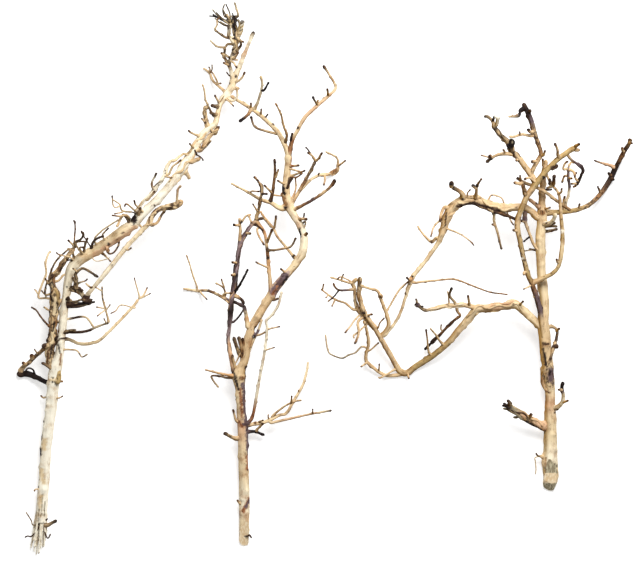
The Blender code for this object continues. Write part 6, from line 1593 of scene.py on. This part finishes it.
class Wires:
    """A material's node tree and the one way that its nodes are made."""

    def __init__(self, name):
        self.material = bpy.data.materials.new(name)
        self.material.use_nodes = True
        self.tree = self.material.node_tree
        self.shader = self.tree.nodes["Principled BSDF"]

    def set(self, node, sockets):
        """Links or sets a node's sockets."""
        for key, value in sockets.items():
            if isinstance(value, Value):
                self.tree.links.new(value.socket, node.inputs[key])
            else:
                node.inputs[key].default_value = value

    def node(self, kind, settings, sockets, output=0):
        """Makes a node from its kind, its settings and its sockets, and gives one of its outputs."""
        made = self.tree.nodes.new("ShaderNode" + kind)
        for key, value in settings.items():
            setattr(made, key, value)
        self.set(made, sockets)
        return Value(self, made.outputs[output])

    def mixed(self, amount, first, second, blend="MIX"):
        """Two colours mixed, where colours are also given as three numbers."""
        first, second = [(*c, 1) if isinstance(c, tuple) else c for c in (first, second)]
        settings = {"data_type": "RGBA", "blend_type": blend}
        return self.node("Mix", settings, {0: amount, 6: first, 7: second}, output=2)

    def step(self, value, low, high):
        """0 below low, 1 above high and smooth between, or the other way round."""
        settings = {"interpolation_type": "SMOOTHSTEP"}
        return self.node("MapRange", settings, {0: value, 1: low, 2: high})

    def drawn_out(self, place, scale):
        """A place whose patterns are stretched where the scale is small."""
        return self.node("Mapping", {}, {"Vector": place, "Scale": scale})

    def noise(self, place, scale, detail, rough=0.55):
        """A noise pattern between 0 and 1."""
        sockets = {"Vector": place, "Scale": scale, "Detail": detail, "Roughness": rough}
        return self.node("TexNoise", {}, sockets)


def dry_wood(name, stain, warmth):
    """Weathered wood: each limb's tone, which holds its painted side shade, with long grain, stains, drying
    cracks and dark flakes of bark.
    """
    wires = Wires(name)
    # The tone attribute holds each limb's colours with the painted side shade already in them.
    tone = wires.node("Attribute", {"attribute_name": "tone"}, {}, output="Color")
    flake_share = wires.node("Attribute", {"attribute_name": "tone"}, {}, output="Alpha")
    grain = wires.node("Attribute", {"attribute_name": "grain"}, {}, output="Vector")
    place = wires.node("TexCoord", {}, {}, output="Object")
    along = wires.drawn_out(grain, (1, 1, STRANDS_ALONG))
    strands = wires.noise(along, *STRANDS_NOISE)
    fine = wires.noise(along, *FINE_NOISE)
    crack_line = wires.noise(along, *CRACK_NOISE)
    blotch = wires.noise(place, *BLOTCH_NOISE)
    mottle = wires.noise(wires.drawn_out(grain, (1, 1, MOTTLE_ALONG)), *MOTTLE_NOISE)
    flecks = wires.noise(wires.drawn_out(grain, (1, 1, FLECKS_ALONG)), *FLECKS_NOISE)
    stained = wires.step(blotch, *STAIN_EDGE) * warmth
    colour = wires.mixed(stained, tone, seen(*stain), "MULTIPLY")
    depth = SHADE_DEPTH + SHADE_BY_FLAKES * flake_share
    pattern = SHADE_STRANDS * strands + SHADE_FINE * fine + SHADE_MOTTLE * mottle
    swing = depth * (pattern - SHADE_MIDDLE)
    shades = {channel: 1 + swing * share for channel, share in SHADE_BY_CHANNEL.items()}
    shade = wires.node("CombineColor", {}, shades)
    colour = wires.mixed(1.0, colour, shade, "MULTIPLY")
    away = wires.node("Math", {"operation": "ABSOLUTE"}, {0: crack_line - 0.5})
    crack = wires.step(away, *CRACK_EDGE) * wires.step(blotch, *CRACKED_BLOTCHES)
    flake = wires.step(flecks + flake_share * FLAKE_BY_TONE, *FLAKE_EDGE)
    colour = wires.mixed(crack * CRACK_STRENGTH, colour, seen(*CRACK_COLOUR))
    colour = wires.mixed(flake * FLAKE_STRENGTH, colour, seen(*FLAKE_COLOUR))
    height = strands * RELIEF_STRANDS + fine * RELIEF_FINE + flake * RELIEF_FLAKE - crack * RELIEF_CRACK
    bump = wires.node("Bump", {}, {**WOOD_RELIEF, "Height": height})
    rough = WOOD_ROUGHNESS + WOOD_ROUGHNESS_SWING * fine
    wires.set(wires.shader, {"Base Color": colour, "Roughness": rough, "Normal": bump})
    wires.set(wires.shader, {"Specular IOR Level": WOOD_SHINE})
    return wires.material


def cut_wood(name, pale_from, pale_to):
    """The sawn and whittled flats at a foot: grey end grain with tool scores, and cream facets."""
    wires = Wires(name)
    place = wires.node("TexCoord", {}, {}, output="Object")
    scores = wires.noise(wires.drawn_out(place, (1, SCORES_ALONG, 1)), *SCORES_NOISE)
    patches = wires.noise(place, *PATCH_NOISE)
    y = wires.node("SeparateXYZ", {}, {0: place}, output="Y") + (patches - 0.5) * PALE_BAND_WAVE
    pale = wires.step(y, pale_from, pale_from + PALE_BAND_EDGE)
    pale *= wires.step(y, pale_to, pale_to - PALE_BAND_EDGE)
    grey = wires.mixed(wires.step(scores, *GREY_EDGE), *[seen(*colour) for colour in GREY_COLOURS])
    cream = wires.mixed(wires.step(scores, *CREAM_EDGE), *[seen(*colour) for colour in CREAM_COLOURS])
    colour = wires.mixed(pale, grey, cream)
    patched = wires.step(patches, *PATCH_EDGE) * PATCH_STRENGTH
    colour = wires.mixed(patched, colour, seen(*PATCH_COLOUR))
    bump = wires.node("Bump", {}, {**CUT_RELIEF, "Height": scores})
    rough = CUT_ROUGHNESS + CUT_ROUGHNESS_SWING * patches
    wires.set(wires.shader, {"Base Color": colour, "Roughness": rough, "Normal": bump})
    wires.set(wires.shader, {"Specular IOR Level": WOOD_SHINE})
    return wires.material


def pale_floor():
    """A plain near-white surface under the branches."""
    bm = bmesh.new()
    drop = Matrix.Translation((0, 0, FLOOR_DROP))
    bmesh.ops.create_grid(bm, x_segments=1, y_segments=1, size=FLOOR_SIZE, matrix=drop)
    mesh = bpy.data.meshes.new("pale_floor")
    bm.to_mesh(mesh)
    bm.free()
    wires = Wires("pale_floor")
    wires.set(wires.shader, {"Base Color": FLOOR_COLOUR, "Roughness": FLOOR_ROUGHNESS})
    wires.set(wires.shader, {"Emission Color": (1, 1, 1, 1), "Emission Strength": FLOOR_GLOW})
    mesh.materials.append(wires.material)
    floor = bpy.data.objects.new("pale_floor", mesh)
    bpy.context.scene.collection.objects.link(floor)


def soft_light(name, direction, size, strength):
    """A wide lamp that shines on the branches from a direction."""
    lamp = bpy.data.lights.new(name, "AREA")
    lamp.shape = "DISK"
    lamp.size = size
    lamp.energy = strength
    light = bpy.data.objects.new(name, lamp)
    away = Vector(direction).normalized()
    light.location = away * LAMP_DISTANCE
    light.rotation_mode = "QUATERNION"
    light.rotation_quaternion = away.to_track_quat("Z", "Y")
    bpy.context.scene.collection.objects.link(light)


def look_down():
    """A long lens high above, so that the branches keep their outlines as seen from straight above."""
    camera = bpy.data.cameras.new("camera")
    camera.lens = LENS
    camera.sensor_width = SENSOR
    distance = PHOTO_WIDTH * LENS / SENSOR
    camera.clip_end = distance * CLIP_DISTANCES
    eye = bpy.data.objects.new("camera", camera)
    eye.location = (PHOTO_CENTRE[0], PHOTO_CENTRE[1], FOCUS_HEIGHT + distance)
    bpy.context.scene.collection.objects.link(eye)
    bpy.context.scene.camera = eye


def light_scene():
    """An even, pale sky and one wide lamp, for the soft light of a studio table."""
    world = bpy.data.worlds.new("soft_sky")
    world.use_nodes = True
    sky = world.node_tree.nodes["Background"]
    sky.inputs["Color"].default_value = SKY_COLOUR
    sky.inputs["Strength"].default_value = SKY_STRENGTH
    bpy.context.scene.world = world
    bpy.context.scene.view_settings.view_transform = "Standard"
    soft_light("key", KEY_DIRECTION, KEY_SIZE, KEY_STRENGTH)


def main():
    """Builds the branches, the surface, the light and the camera."""
    for name, tables in BRANCHES.items():
        materials = [dry_wood(*WOODS[name])]
        if name in CUT_WOODS:
            materials.append(cut_wood(*CUT_WOODS[name]))
        branch = build_branch(name, *tables, materials)
        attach(branch, "root")
        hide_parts(name)
    pale_floor()
    light_scene()
    look_down()


main()
